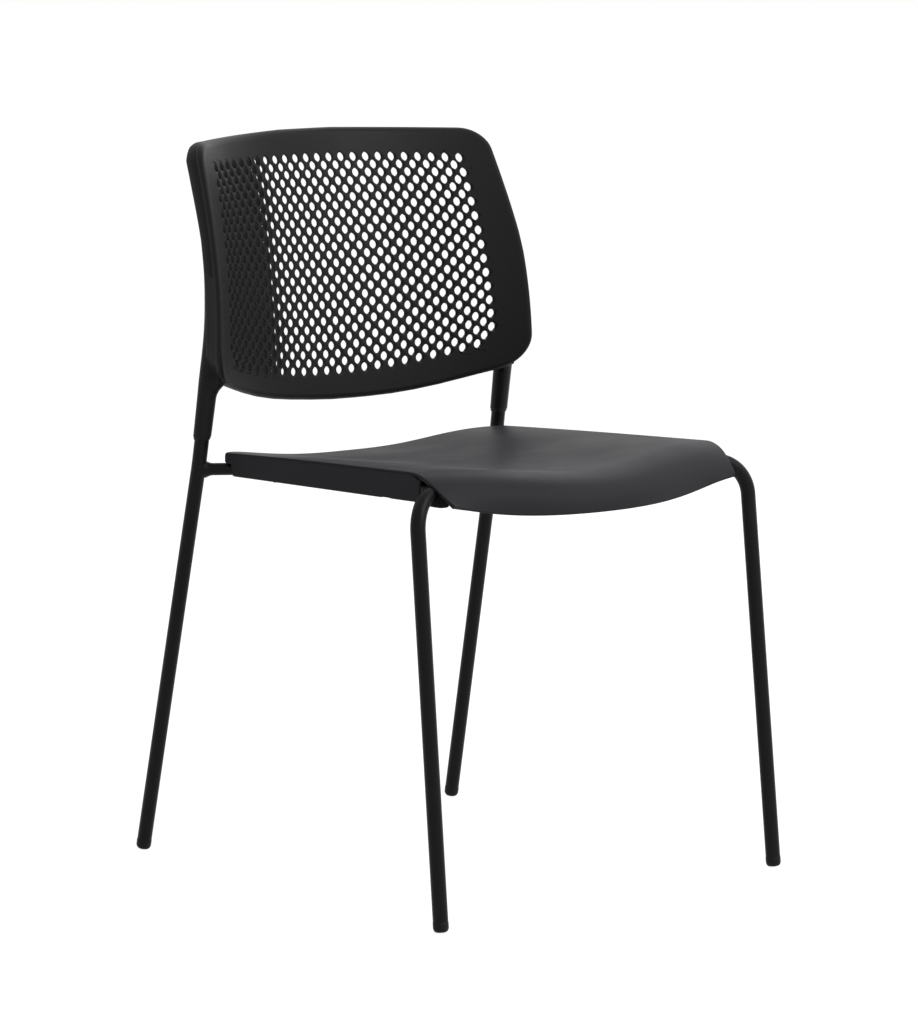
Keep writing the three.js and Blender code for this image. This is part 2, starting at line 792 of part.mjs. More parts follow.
function seatShell() {
  const places = evenly(0, seatPlaceCount - 1, seatPlaceCount - 1);
  let shell = seatSlab(places, evenly(-1, 1, seatColumnCount), 0, seatThickness);
  for (const side of [right, left]) shell = shell.add(seatSkirt(side));
  for (const side of [right, left]) {
    const x = (side * ribSpan) / 2;
    const [rearEnd, frontEnd] = [ribCentreY + ribLength / 2, ribCentreY - ribLength / 2];
    shell = shell.add(seatRib(rearEnd, frontEnd, x - ribWall / 2, x + ribWall / 2));
  }
  shell = shell.add(seatRib(ribCentreY + ribWall / 2, ribCentreY - ribWall / 2, -ribSpan / 2, ribSpan / 2));
  const [ribRear, ribFront] = [frontRibY + ribWall / 2, frontRibY - ribWall / 2];
  shell = shell.add(seatRib(ribRear, ribFront, -frontRibSpan / 2, frontRibSpan / 2));
  for (const { side, y } of tabCorners()) {
    const x = tabHoleX(side, y);
    const from = new THREE.Vector3(x, y, tabTop(y) + screwSeatGap);
    const height = seatUndersideAt(x, y) + seatThickness / 2 - from.z;
    const boss = bossDiameter / 2;
    shell = shell.add(turned([[0, 0], [boss, 0], [boss, height], [0, height]], from, upward));
    const start = from.clone().addScaledVector(upward, -cutOverrun);
    shell = shell.subtract(screwHole(start, upward, cutOverrun + bossHoleDepth + screwHoleGap));
  }
  return shell;
}

// Back: one curved face carries the panel and the frame behind it

function backFace(x, z) {
  const rise = (z - backMidHeight) / backProfileReach;
  const middle = backMidY + backLean * rise + backBow * rise * rise;
  const swing = (z - backWaistHeight) / backRadiusReach;
  const radius = backWaistRadius + backRadiusGrowth * swing * swing;
  return middle - radius + Math.sqrt(radius * radius - x * x);
}

// Direction into the back, square to its front face
function backInward(flat) {
  const reach = panelThickness;
  const slopeX = (backFace(flat.x + reach, flat.y) - backFace(flat.x - reach, flat.y)) / (2 * reach);
  const slopeZ = (backFace(flat.x, flat.y + reach) - backFace(flat.x, flat.y - reach)) / (2 * reach);
  return new THREE.Vector3(-slopeX, 1, -slopeZ).normalize();
}

// A point of the outline seen from the front, straight behind the front face by a depth square to it
function backPoint(flat, depth) {
  const point = new THREE.Vector3(flat.x, backFace(flat.x, flat.y), flat.y);
  point.y += depth / backInward(flat).y;
  return point;
}

// A point at a depth along the line that enters the front face squarely
function backSquare(flat, depth) {
  return backPoint(flat, 0).addScaledVector(backInward(flat), depth);
}

// Outline of the back seen from the front, drawn in by an inset
function backOutline(inset) {
  const half = [
    [backSillSpan / 2, backSillHeight, backSillBend],
    [backLowSpan / 2, backLowHeight, backLowCorner],
    [backSideSpan / 2, backSideHeight, backSideBend],
    [backTopSpan / 2, backTopHeight - backTopFall, backTopCorner],
  ];
  const mirrored = half.map(([x, z, radius]) => [-x, z, radius]).reverse();
  const start = [0, backBaseHeight, backEdgeBend];
  const corners = [...half, [0, backTopHeight, backEdgeBend], ...mirrored];
  const loop = [start, ...corners, start].map(([x, z]) => new THREE.Vector3(x, 0, z));
  const rings = bentRoute(loop, corners.map(([, , radius]) => radius), turnPerEdge);
  rings[0].along = new THREE.Vector3(1, 0, 0);
  rings[rings.length - 1].along = rings[0].along;
  return divided(rings, backEdgeStep).map(({ point, along }) => (
    new THREE.Vector2(point.x - along.z * inset, point.z + along.x * inset)
  ));
}

// A closed route with extra places wherever two neighbours are further apart than a step,
// without its last place
function divided(rings, step) {
  return rings.slice(0, -1).flatMap((ring, i) => {
    const next = rings[i + 1];
    const count = Math.ceil(ring.point.distanceTo(next.point) / step);
    return Array.from({ length: count }, (unused, k) => ({
      point: ring.point.clone().lerp(next.point, k / count),
      along: ring.along.clone().lerp(next.along, k / count).normalize(),
    }));
  });
}

// Centres of the perforations: staggered rows that widen and arch towards the foot of the back,
// where the last row leaves out its two end holes
function holeCentres(rows, columns) {
  const centres = [];
  const spanBow = 2 * (fieldTopSpan + fieldBaseSpan - 2 * fieldMidSpan);
  for (let row = 0; row < rows; row++) {
    const down = row / (rows - 1);
    const span = fieldTopSpan + (fieldBaseSpan - fieldTopSpan - spanBow) * down + spanBow * down * down;
    const liftBow = 2 * (fieldBaseLift - fieldSideFall - 2 * fieldMidLift);
    const lift = -fieldSideFall + (fieldBaseLift + fieldSideFall - liftBow) * down + liftBow * down * down;
    const height = THREE.MathUtils.lerp(fieldTopHeight, fieldBaseHeight, down);
    const count = row % 2 ? columns - 1 : columns;
    const cornersOff = row === rows - 1 ? 1 : 0;
    for (let column = cornersOff; column < count - cornersOff; column++) {
      const across = (2 * column - count + 1) / (columns - 1);
      const reach = span / 2 + fieldSideSqueeze * (1 - across * across);
      centres.push(new THREE.Vector2(across * reach, height + lift * across * across));
    }
  }
  return centres;
}

function holeLoops() {
  const turns = Array.from({ length: holeSides }, (unused, k) => k / holeSides);
  const swings = turns.map((turn) => Math.PI / 2 - 2 * Math.PI * turn);
  return holeCentres(holeRowCount, holeColumnCount).map((centre) => swings.map((swing) => new THREE.Vector2(
    centre.x + (holeDiameter / 2) * Math.cos(swing),
    centre.y + (holeDiameter / 2) * Math.sin(swing),
  )));
}

// Triangles that fill the first loop outside the others, as places in the loops laid end to end
function triangles(loops) {
  const faces = wasm.triangulate(loops.map((loop) => loop.map(({ x, y }) => [x, y])));
  return relaxed(faces, loops.flat());
}

function angleAt(corner, a, b) {
  return a.clone().sub(corner).angleTo(b.clone().sub(corner));
}

function turnsLeft(a, b, c) {
  return b.clone().sub(a).cross(c.clone().sub(a)) > 0;
}

// Swaps the shared edge of neighbouring triangles wherever that makes them less drawn out,
// so that no long triangle cuts across the curve of the back
function relaxed(faces, points) {
  const list = faces.map((face) => [...face]);
  for (let pass = 0; pass < relaxingPasses; pass++) {
    const edges = new Map();
    const touched = new Set();
    list.forEach((face, i) => {
      for (let k = 0; k < 3; k++) edges.set(`${face[k]}_${face[(k + 1) % 3]}`, [i, face[(k + 2) % 3]]);
    });
    for (const [key, [i, c]] of edges) {
      const [a, b] = key.split('_').map(Number);
      const other = edges.get(`${b}_${a}`);
      if (!other || a > b || touched.has(i) || touched.has(other[0])) continue;
      const [j, d] = other;
      const [start, end, near, far] = [points[a], points[b], points[c], points[d]];
      const sum = angleAt(near, start, end) + angleAt(far, start, end);
      const sound = turnsLeft(start, far, near) && turnsLeft(far, end, near);
      if (sum < Math.PI + relaxingMargin || !sound) continue;
      list[i] = [a, d, c];
      list[j] = [d, b, c];
      touched.add(i).add(j);
    }
    if (!touched.size) break;
  }
  return list;
}
const relaxingPasses = 60;
const relaxingMargin = 1e-3;

// The perforated plate: the same triangles face front and rear, walls line the holes
// and the edge turns back
function panelPlate() {
  const front = backOutline(panelEdgeInset);
  const rear = backOutline(panelLipWall);
  const holes = holeLoops();
  const faces = triangles([front, ...holes]);
  const points = [];
  const index = [];
  const add = (loop, depth) => {
    const start = points.length;
    points.push(...loop.map((flat) => backPoint(flat, depth)));
    return start;
  };
  const strip = (near, far, count) => {
    for (let k = 0; k < count; k++) {
      const next = (k + 1) % count;
      index.push(near + k, far + k, far + next, near + k, far + next, near + next);
    }
  };
  const frontStart = add(front, 0);
  const frontHoles = holes.map((loop) => add(loop, 0));
  const rearStart = add(rear, panelThickness);
  const rearHoles = holes.map((loop) => add(loop, panelThickness));
  for (const [a, b, c] of faces) {
    index.push(frontStart + a, frontStart + b, frontStart + c, rearStart + c, rearStart + b, rearStart + a);
  }
  frontHoles.forEach((start, i) => strip(start, rearHoles[i], holeSides));
  const edge = [
    add(backOutline(panelEdgeRound), panelEdgeRound),
    add(backOutline(0), panelEdgeDepth),
    add(backOutline(0), panelLipDepth),
    add(backOutline(panelLipWall), panelLipDepth),
  ];
  const loops = [frontStart, ...edge, rearStart];
  for (let i = 0; i < loops.length - 1; i++) strip(loops[i], loops[i + 1], front.length);
  const geometry = new THREE.BufferGeometry().setFromPoints(points);
  geometry.setIndex(index);
  return solid(geometry);
}

// Fixing points of the panel: where each screw meets the front face, seen from the front
function panelFixings() {
  const spots = [];
  for (const [level, height] of [['top', panelScrewTopHeight], ['low', panelScrewLowHeight]]) {
    for (const [hand, side] of [['right', right], ['left', left]]) {
      spots.push({ level, hand, flat: new THREE.Vector2((side * panelScrewSpan) / 2, height) });
    }
  }
  return spots;
}

function backPanel() {
  let panel = panelPlate();
  const boss = panelBossDiameter / 2;
  for (const { flat } of panelFixings()) {
    const inward = backInward(flat);
    const from = backSquare(flat, panelThickness / 2);
    const height = panelThickness / 2 + panelBossHeight;
    panel = panel.add(turned([[0, 0], [boss, 0], [boss, height], [0, height]], from, inward));
    panel = panel.subtract(screwHole(from, inward, height + cutOverrun));
  }
  return panel;
}

// Space taken by the panel's border and a gap round it
function panelEnvelope() {
  const wide = backOutline(-frameGap);
  const tight = backOutline(panelLipWall + frameGap);
  const inner = backOutline(frameInset + frameWidth + frameChamfer);
  return loopBody([
    wide.map((flat) => backPoint(flat, -cutOverrun)),
    wide.map((flat) => backPoint(flat, panelLipDepth + frameGap)),
    tight.map((flat) => backPoint(flat, panelLipDepth + frameGap)),
    tight.map((flat) => backPoint(flat, panelThickness + frameGap)),
    inner.map((flat) => backPoint(flat, panelThickness + frameGap)),
    inner.map((flat) => backPoint(flat, -cutOverrun)),
  ]);
}

// Depth of the ring's rear face: deeper along the sides, where it fades out below the top corners
function frameRear(flat) {
  const sideways = THREE.MathUtils.smoothstep(Math.abs(flat.x) / (backTopSpan / 2), ...frameSideShares);
  const downwards = THREE.MathUtils.smoothstep((backTopHeight - flat.y) / frameSideTaper, 0, 1);
  return panelThickness + frameGap + frameDepth + frameSideDepth * sideways * downwards;
}
const frameSideShares = [0.8, 0.98];

// Ring behind the panel's rim, with its rear edges chamfered
function frameRing() {
  const start = panelThickness - frameGap;
  const outerInset = frameInset;
  const innerInset = frameInset + frameWidth;
  const outer = backOutline(outerInset);
  const inner = backOutline(innerInset);
  const outerChamfer = backOutline(outerInset + frameChamfer);
  const innerChamfer = backOutline(innerInset - frameChamfer);
  return loopBody([
    outer.map((flat) => backPoint(flat, start)),
    outer.map((flat) => backPoint(flat, frameRear(flat) - frameChamfer)),
    outerChamfer.map((flat, i) => backPoint(flat, frameRear(outer[i]))),
    innerChamfer.map((flat, i) => backPoint(flat, frameRear(inner[i]))),
    inner.map((flat) => backPoint(flat, frameRear(flat) - frameChamfer)),
    inner.map((flat) => backPoint(flat, start)),
  ]);
}

function sleeve(side) {
  const route = rearLegRoute(side);
  const above = uprightTopHeight + sleeveCapThickness;
  const wide = tubeAlong(routeBetween(route, sleeveStartHeight, above), sleeveDiameter / 2);
  const socketStart = socketEndHeight + sleeveStepHeight;
  const socketRun = routeBetween(route, socketStart, sleeveStartHeight + sleeveDiameter);
  const socket = tubeAlong(socketRun, socketDiameter / 2);
  const endRun = routeBetween(route, socketEndHeight, sleeveStartHeight);
  const end = tubeAlong(endRun, socketDiameter / 2 - sleeveStep);
  return wide.add(socket).add(end);
}

function sleeveBore(side) {
  const route = rearLegRoute(side);
  const top = uprightTopHeight + slideGap;
  return tubeAlong(routeBetween(route, socketEndHeight - cutOverrun, top), tubeRadius + slideGap);
}

// The lock screw enters the sleeve from behind, square to the upright, and stops inside it
function lockScrewLine(side) {
  const { point, along } = routeAt(rearLegRoute(side), lockScrewHeight);
  const forward = new THREE.Vector3(0, -1, 0);
  const inward = forward.addScaledVector(along, -forward.dot(along)).normalize();
  return { seat: point.addScaledVector(inward, -socketDiameter / 2 - screwSeatGap), inward };
}

function lockScrewLength() {
  return socketDiameter / 2 - tubeRadius + lockScrewReach;
}

function lockScrewHole(side) {
  const { seat, inward } = lockScrewLine(side);
  const start = seat.addScaledVector(inward, -cutOverrun);
  return screwHole(start, inward, cutOverrun + lockScrewLength() + screwHoleGap);
}

function lockScrew(side) {
  const { seat, inward } = lockScrewLine(side);
  return screw(seat, inward, lockScrewLength());
}

function backFrame() {
  let frame = frameRing();
  for (const side of [right, left]) frame = frame.add(sleeve(side));
  frame = frame.subtract(panelEnvelope());
  for (const side of [right, left]) frame = frame.subtract(sleeveBore(side)).subtract(lockScrewHole(side));
  for (const { flat } of panelFixings()) {
    const inward = backInward(flat);
    const seat = panelThickness + panelBossHeight + frameGap;
    frame = frame.subtract(screwHole(backSquare(flat, 0), inward, seat, panelBossDiameter + 2 * frameGap));
    frame = frame.subtract(screwHole(backSquare(flat, 0), inward, cutOverrun));
  }
  return frame;
}

function panelScrew({ flat }) {
  const seat = backSquare(flat, frameRear(flat) + screwSeatGap);
  return screw(seat, backInward(flat).negate(), panelScrewLength);
}

// Glide: a domed cap under the tube with a stem inside it, worn flat where it meets the floor
function glide(route) {
  const { point, along } = route[0];
  const cap = glideDiameter / 2;
  const stem = tubeRadius - tubeWall - slideGap;
  const base = -glideFlatDepth;
  const body = turned([
    [0, base],
    [cap * glideDomeShares[0], base],
    [cap * glideDomeShares[1], base + glideDome / 3],
    [cap, base + glideDome],
    [cap, glideHeight],
    [stem, glideHeight],
    [stem, glideHeight + glideStemLength],
    [0, glideHeight + glideStemLength],
  ], point, along, tubeSides);
  const floor = new THREE.BoxGeometry(glideDiameter * 2, glideDiameter * 2, cutOverrun);
  floor.translate(point.x, point.y, -cutOverrun / 2);
  return body.subtract(solid(floor));
}
const glideDomeShares = [0.45, 0.82];

// Stacking bumper: a saddle clipped under the rail with a flat foot
function bumper({ point, along }, length, foot) {
  const inner = tubeRadius + slideGap;
  const outer = inner + bumperWall;
  const section = new THREE.Shape();
  section.moveTo(-outer, 0);
  section.lineTo(-outer, -outer / 2);
  section.lineTo(-bumperFootWidth / 2, -inner - foot);
  section.lineTo(bumperFootWidth / 2, -inner - foot);
  section.lineTo(outer, -outer / 2);
  section.lineTo(outer, 0);
  section.lineTo(inner, 0);
  section.absarc(0, 0, inner, 0, -Math.PI, true);
  const geometry = new THREE.ExtrudeGeometry(section, {
    depth: length,
    bevelEnabled: false,
    curveSegments: smallRoundSides,
  });
  geometry.translate(0, 0, -length / 2);
  const across = new THREE.Vector3().crossVectors(upward, along).normalize();
  const up = new THREE.Vector3().crossVectors(along, across);
  geometry.applyMatrix4(new THREE.Matrix4().makeBasis(across, up, along).setPosition(point));
  return solid(geometry);
}

// Middle of the short level run between the shoulder and the elbow
function shoulderPlace(side) {
  const ahead = frontLegRoute(side).filter(({ point }) => point.y < 0);
  const level = ahead.filter(({ along }) => Math.abs(along.z) < levelTolerance);
  const point = level[0].point.clone().lerp(level[level.length - 1].point, 1 / 2);
  return { point, along: level[0].along.clone() };
}
const levelTolerance = 1e-6;

function railPoint(side, y) {
  return new THREE.Vector3(side * railHalfSpan(y), y, railHeight(y));
}

function railPlace(side, y) {
  const point = railPoint(side, y);
  const along = railPoint(side, y + rearBumperLength).sub(point).normalize();
  return { point, along };
}

const chair = new THREE.Group();

for (const [hand, side] of [['right', right], ['left', left]]) {
  chair.add(part(`rear_leg_${hand}`, rearLeg(side), tubePaint()));
  chair.add(part(`front_leg_rail_${hand}`, frontLeg(side), tubePaint()));
  chair.add(part(`rear_glide_${hand}`, glide(rearLegRoute(side)), glidePlastic()));
  chair.add(part(`front_glide_${hand}`, glide(frontLegRoute(side)), glidePlastic()));
  const frontBumper = bumper(shoulderPlace(side), frontBumperLength, frontBumperFoot);
  const rearBumper = bumper(railPlace(side, rearBumperY), rearBumperLength, rearBumperFoot);
  chair.add(part(`front_bumper_${hand}`, frontBumper, glidePlastic()));
  chair.add(part(`rear_bumper_${hand}`, rearBumper, glidePlastic()));
  chair.add(part(`back_lock_screw_${hand}`, lockScrew(side), screwSteel()));
}
chair.add(part('front_cross_tube', crossTube(frontCrossY), tubePaint()));
chair.add(part('rear_cross_tube', crossTube(rearCrossY), tubePaint()));
for (const corner of tabCorners()) {
  chair.add(part(`seat_tab_${corner.end}_${corner.hand}`, seatTab(corner), tubePaint()));
  chair.add(part(`seat_screw_${corner.end}_${corner.hand}`, seatScrew(corner), screwSteel()));
}
chair.add(part('seat_shell', seatShell(), seatPlastic()));
chair.add(part('back_panel', backPanel(), panelPlastic()));
chair.add(part('back_frame', backFrame(), framePlastic()));
for (const fixing of panelFixings()) {
  chair.add(part(`panel_screw_${fixing.level}_${fixing.hand}`, panelScrew(fixing), screwSteel()));
}

export default chair;
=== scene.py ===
# Stacking choir chair: the visual model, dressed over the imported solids.
import json
import bpy
import numpy as np
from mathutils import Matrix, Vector

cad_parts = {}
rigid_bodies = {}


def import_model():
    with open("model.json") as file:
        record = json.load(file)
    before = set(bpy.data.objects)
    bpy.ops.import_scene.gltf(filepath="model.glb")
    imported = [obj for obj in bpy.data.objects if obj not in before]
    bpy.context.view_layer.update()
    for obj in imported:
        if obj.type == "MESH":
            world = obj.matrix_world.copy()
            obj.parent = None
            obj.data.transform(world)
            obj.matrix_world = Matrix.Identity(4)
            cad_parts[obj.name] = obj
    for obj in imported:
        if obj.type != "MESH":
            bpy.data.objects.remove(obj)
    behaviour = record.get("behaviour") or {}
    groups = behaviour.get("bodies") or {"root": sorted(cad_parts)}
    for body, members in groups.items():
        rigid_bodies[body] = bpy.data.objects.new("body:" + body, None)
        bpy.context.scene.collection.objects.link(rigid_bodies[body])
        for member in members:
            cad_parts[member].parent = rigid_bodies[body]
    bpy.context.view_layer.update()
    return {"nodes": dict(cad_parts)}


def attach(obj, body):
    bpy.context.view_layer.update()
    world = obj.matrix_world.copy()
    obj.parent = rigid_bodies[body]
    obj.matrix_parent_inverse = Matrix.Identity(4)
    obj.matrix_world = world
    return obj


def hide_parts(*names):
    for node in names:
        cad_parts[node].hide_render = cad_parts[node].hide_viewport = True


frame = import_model()
mm = 0.001
sides = (("right", -1.0), ("left", 1.0))
print("frame loaded:", len(frame["nodes"]), "solids")


# Small helpers.

# Directions that no tube runs along; they start the section axes.
askew = {"route": (0.3, 0.5, 0.1), "turned": (0.31, 0.52, 0.11), "weld": (0.2, 0.3, 0.9)}


# An object in the scene.
def addObject(name, data):
    item = bpy.data.objects.new(name, data)
    bpy.context.scene.collection.objects.link(item)
    return item


# A mesh object from points (in mm) and faces, in its slot's finish, in place of one node: rear_leg_right becomes
# rearLegRight. Edges sharper than the crease angle stay crisp, unless each point has its normal.
def makePiece(node, points, faces, slotName, crease=35, normals=None):
    first, *others = node.split("_")
    name = first + "".join(word.title() for word in others)
    mesh = bpy.data.meshes.new(name)
    mesh.from_pydata((np.asarray(points, float) * mm).tolist(), [], [tuple(face) for face in faces])
    mesh.polygons.foreach_set("use_smooth", np.ones(len(mesh.polygons), bool))
    mesh.validate()
    mesh.update()
    if normals is None:
        mesh.set_sharp_from_angle(angle=np.radians(crease))
    else:
        mesh.normals_split_custom_set_from_vertices(normals.tolist())
    piece = addObject(name, mesh)
    mesh.materials.append(finishes[slotName])
    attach(piece, "root")
    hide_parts(node)


# Vectors divided by their length, along the last axis.
def unit(vectors):
    return vectors / np.linalg.norm(vectors, axis=-1)[..., None]


# The first value plus a share of the way to the second.
def mix(first, second, share):
    return first + (second - first) * share


# Smooth step from 0 to 1 between two values: share squared times (3 - 2 share).
def ease(value, low, high):
    share = np.clip((value - low) / (high - low), 0, 1)
    return share * share * (3 - 2 * share)


# Angles of a full turn in even steps, without the end.
def fullTurn(count):
    return np.linspace(0, 2 * np.pi, count, endpoint=False)


# Faces of a grid of rows x columns; rows or columns can be joined end to end.
def gridFaces(rows, columns, closedRows=False, closedColumns=False, start=0):
    i = np.arange(rows if closedRows else rows - 1)
    k = np.arange(columns if closedColumns else columns - 1)
    i, k = np.meshgrid(i, k, indexing="ij")
    a = i * columns + k
    b = i * columns + (k + 1) % columns
    c = ((i + 1) % rows) * columns + (k + 1) % columns
    d = ((i + 1) % rows) * columns + k
    return (np.stack([a, b, c, d], -1).reshape(-1, 4) + start).tolist()


# The skin of a tube of rings, with one face over each closed end.
def tubeSkin(rings, closedStart=True, closedEnd=True):
    count, around = rings.shape[:2]
    faces = gridFaces(count, around, closedColumns=True)
    if closedStart:
        faces.append(list(range(around))[::-1])
    if closedEnd:
        faces.append(list(range((count - 1) * around, count * around)))
    return rings.reshape(-1, 3), faces


# A route through corners: straight runs, in steps up to straightStep, joined by arcs of the bend radii, in steps up
# to the turn in degrees.
def bentRoute(corners, radii, turn=3.0, straightStep=np.inf):
    corners = np.asarray(corners, float)
    route = [corners[:1]]
    for i, radius in enumerate(radii, 1):
        before, after = unit(corners[i] - corners[i - 1]), unit(corners[i + 1] - corners[i])
        angle = np.arccos(np.clip(before @ after, -1, 1))
        inward = unit(after - before * (after @ before))
        swing = np.linspace(0, angle, max(2, int(np.ceil(np.degrees(angle) / turn)) + 1))[:, None]
        begin = corners[i] - before * radius * np.tan(angle / 2)
        route.append(begin + before * radius * np.sin(swing) + inward * radius * (1 - np.cos(swing)))
    points = np.concatenate(route + [corners[-1:]])
    gaps = np.linalg.norm(np.diff(points, axis=0), axis=1)
    counts = np.maximum(1, np.ceil(gaps / straightStep)).astype(int)
    spread = [mix(points[i], points[i + 1], np.linspace(0, 1, n, endpoint=False)[:, None])
              for i, n in enumerate(counts)]
    return np.concatenate(spread + [points[-1:]])


# A round skin along a route: at each point a circle of its radius, square to the route. Its side direction is carried
# along without twist.
def roundSkin(points, radii, count, closedEnd=False):
    along = unit(np.gradient(points, axis=0))
    side = unit(np.cross(along[0], askew["route"]))
    sideways = []
    for direction in along:
        side = unit(side - direction * (side @ direction))
        sideways.append(side)
    sideways = np.array(sideways)
    up = np.cross(along, sideways)
    radii = np.broadcast_to(np.asarray(radii, float), len(points))[:, None, None]
    swing = fullTurn(count)[None, :, None]
    rings = points[:, None] + radii * (sideways[:, None] * np.cos(swing) + up[:, None] * np.sin(swing))
    return tubeSkin(rings, False, closedEnd)


# Several (points, faces) bodies as one.
def joined(*bodies):
    points, faces, start = [], [], 0
    for bodyPoints, bodyFaces in bodies:
        points.append(np.asarray(bodyPoints, float))
        faces.extend([[v + start for v in face] for face in bodyFaces])
        start += len(bodyPoints)
    return np.concatenate(points), faces


# Materials.

grainLook = dict(
    fineDetail=3, fineRoughness=0.6, pitSize=1.4, pitShare=0.6, bump=0.35,
    broadScale=9, broadDetail=4, broadLow=0.3, broadHigh=0.7,
)


# Inputs of a shader node, each set to a value or linked to another node's output.
def setInputs(node, inputs):
    for name, value in inputs.items():
        if isinstance(value, bpy.types.NodeSocket):
            node.id_data.links.new(value, node.inputs[name])
        else:
            node.inputs[name].default_value = value


# A shader node with its settings and inputs.
def addNode(tree, kind, inputs={}, **settings):
    node = tree.nodes.new("ShaderNode" + kind)
    for name, value in settings.items():
        setattr(node, name, value)
    setInputs(node, inputs)
    return node


# Grained plastic, paint or metal. The grain's height is fine noise plus a share of the distance to the nearest pit. A
# broad noise drifts the tone and the roughness to either side.
def grained(name, colour, roughness, grain=0.9, grainDepth=0.05, drift=0.12, polish=0.07, shine=0.14, more={}):
    material = bpy.data.materials.new(name)
    material.use_nodes = True
    tree, look = material.node_tree, grainLook
    place = {"Vector": addNode(tree, "TexCoord").outputs["Object"]}
    fine = addNode(tree, "TexNoise", {
        **place, "Scale": 1000 / grain, "Detail": look["fineDetail"], "Roughness": look["fineRoughness"]})
    pits = addNode(tree, "TexVoronoi", {**place, "Scale": 1000 / (grain * look["pitSize"])})
    broad = addNode(tree, "TexNoise", {**place, "Scale": look["broadScale"], "Detail": look["broadDetail"]})
    height = addNode(tree, "Math", {
        0: pits.outputs["Distance"], 1: look["pitShare"], 2: fine.outputs["Fac"]}, operation="MULTIPLY_ADD")
    bump = addNode(tree, "Bump", {
        "Strength": look["bump"], "Distance": grainDepth * mm, "Height": height.outputs[0]})
    span = {"Value": broad.outputs["Fac"], "From Min": look["broadLow"], "From Max": look["broadHigh"]}
    tone = addNode(tree, "MapRange", {**span, "To Min": 1 - drift, "To Max": 1 + drift})
    rough = addNode(tree, "MapRange", {**span, "To Min": roughness - polish, "To Max": roughness + polish})
    shade = addNode(tree, "Mix", {"Factor": 1, "A": (*colour, 1), "B": tone.outputs["Result"]},
                    data_type="RGBA", blend_type="MULTIPLY")
    setInputs(tree.nodes["Principled BSDF"], {
        "Base Color": shade.outputs["Result"], "Roughness": rough.outputs["Result"],
        "Normal": bump.outputs["Normal"], "Specular IOR Level": shine, **more})
    return material


finishes = {
    "tube_paint": grained("tubePowderCoat", (0.0065, 0.0065, 0.0068), 0.38, grain=1.6, grainDepth=0.03, drift=0.08,
                          polish=0.05, shine=0.1, more={"Coat Weight": 0.04, "Coat Roughness": 0.3}),
    # The seat's tone is its own dark grey plastic plus painted sheen. It is about three times the panel's and stands in
    # for the light its top reflects, so its shine is set low.
    "seat_plastic": grained("seatPlastic", (0.040, 0.0392, 0.0440), 0.5, shine=0.05),
    "panel_plastic": grained("panelPlastic", (0.0135, 0.0134, 0.0142), 0.5),
    "back_frame_plastic": grained("backFramePlastic", (0.0105, 0.0105, 0.0112), 0.5),
    "glide_plastic": grained("glidePlastic", (0.007, 0.007, 0.0073), 0.5, grain=0.6),
    "bumper_rubber": grained("bumperRubber", (0.008, 0.008, 0.008), 0.75, grain=0.7),
    "screw_steel": grained("screwSteel", (0.33, 0.33, 0.34), 0.38, grain=0.35, grainDepth=0.01, drift=0.2,
                           polish=0.1, more={"Metallic": 1}),
}
print("finishes made:", len(finishes))

# Camera, floor and light.

camera = dict(
    place=(-3.0704, -3.5686, 1.0317), azimuth=-40.821, elevation=7.699,
    focalShare=4252.5 / 1023, sensor=36, clipEnd=60,
)


# A camera or lamp at a place in the scene, turned to look in a direction.
def placeAimed(name, data, place, direction):
    item = addObject(name, data)
    item.location = place
    item.rotation_mode = "QUATERNION"
    item.rotation_quaternion = direction.to_track_quat("-Z", "Y")
    return item


# The photo's camera; it looks against the direction of its azimuth and elevation.
def placeCamera():
    data = bpy.data.cameras.new("camera")
    data.lens = camera["focalShare"] * camera["sensor"]
    data.sensor_width = camera["sensor"]
    data.clip_end = camera["clipEnd"]
    turn, rise = np.radians(camera["azimuth"]), np.radians(camera["elevation"])
    back = Vector((np.sin(turn) * np.cos(rise), -np.cos(turn) * np.cos(rise), np.sin(rise)))
    bpy.context.scene.camera = placeAimed("camera", data, camera["place"], -back)


studio = dict(
    floorColour=(0.4, 0.4, 0.4), floorRoughness=0.9, floorShine=0.1, floorReach=40.0, floorGlow=0.88,
    worldLight=0.3, white=(1, 1, 1, 1), aim=(0, 0, 0.5),
    lamps=dict(
        key=dict(power=72.0, place=(1.1, -2.8, 2.6), size=2.4),
        rim=dict(power=13.0, place=(2.4, 1.9, 2.8), size=2.2),
        side=dict(power=24.0, place=(3.1, 0.8, 1.05), size=2.6),
    ),
)


# 1 for camera, glossy and transmission rays, 0 for those that light the object: the largest of three flags.
def seenRay(tree):
    ray = addNode(tree, "LightPath").outputs
    outlet = ray["Is Camera Ray"]
    for kind in ("Is Glossy Ray", "Is Transmission Ray"):
        outlet = addNode(tree, "Math", {0: outlet, 1: ray[kind]}, operation="MAXIMUM").outputs[0]
    return outlet


# The floor glows only to the camera and to reflections, and dims where the object shades it.
def makeFloor():
    reach = studio["floorReach"]
    mesh = bpy.data.meshes.new("floor")
    corners = [(-reach, -reach, 0), (reach, -reach, 0), (reach, reach, 0), (-reach, reach, 0)]
    mesh.from_pydata(corners, [], [(0, 1, 2, 3)])
    floor = addObject("floor", mesh)
    paint = bpy.data.materials.new("floorPaint")
    paint.use_nodes = True
    tree = paint.node_tree
    glow = addNode(tree, "Math", {0: seenRay(tree), 1: studio["floorGlow"]}, operation="MULTIPLY")
    setInputs(tree.nodes["Principled BSDF"], {
        "Base Color": (*studio["floorColour"], 1), "Roughness": studio["floorRoughness"],
        "Specular IOR Level": studio["floorShine"], "Emission Color": studio["white"],
        "Emission Strength": glow.outputs[0]})
    mesh.materials.append(paint)


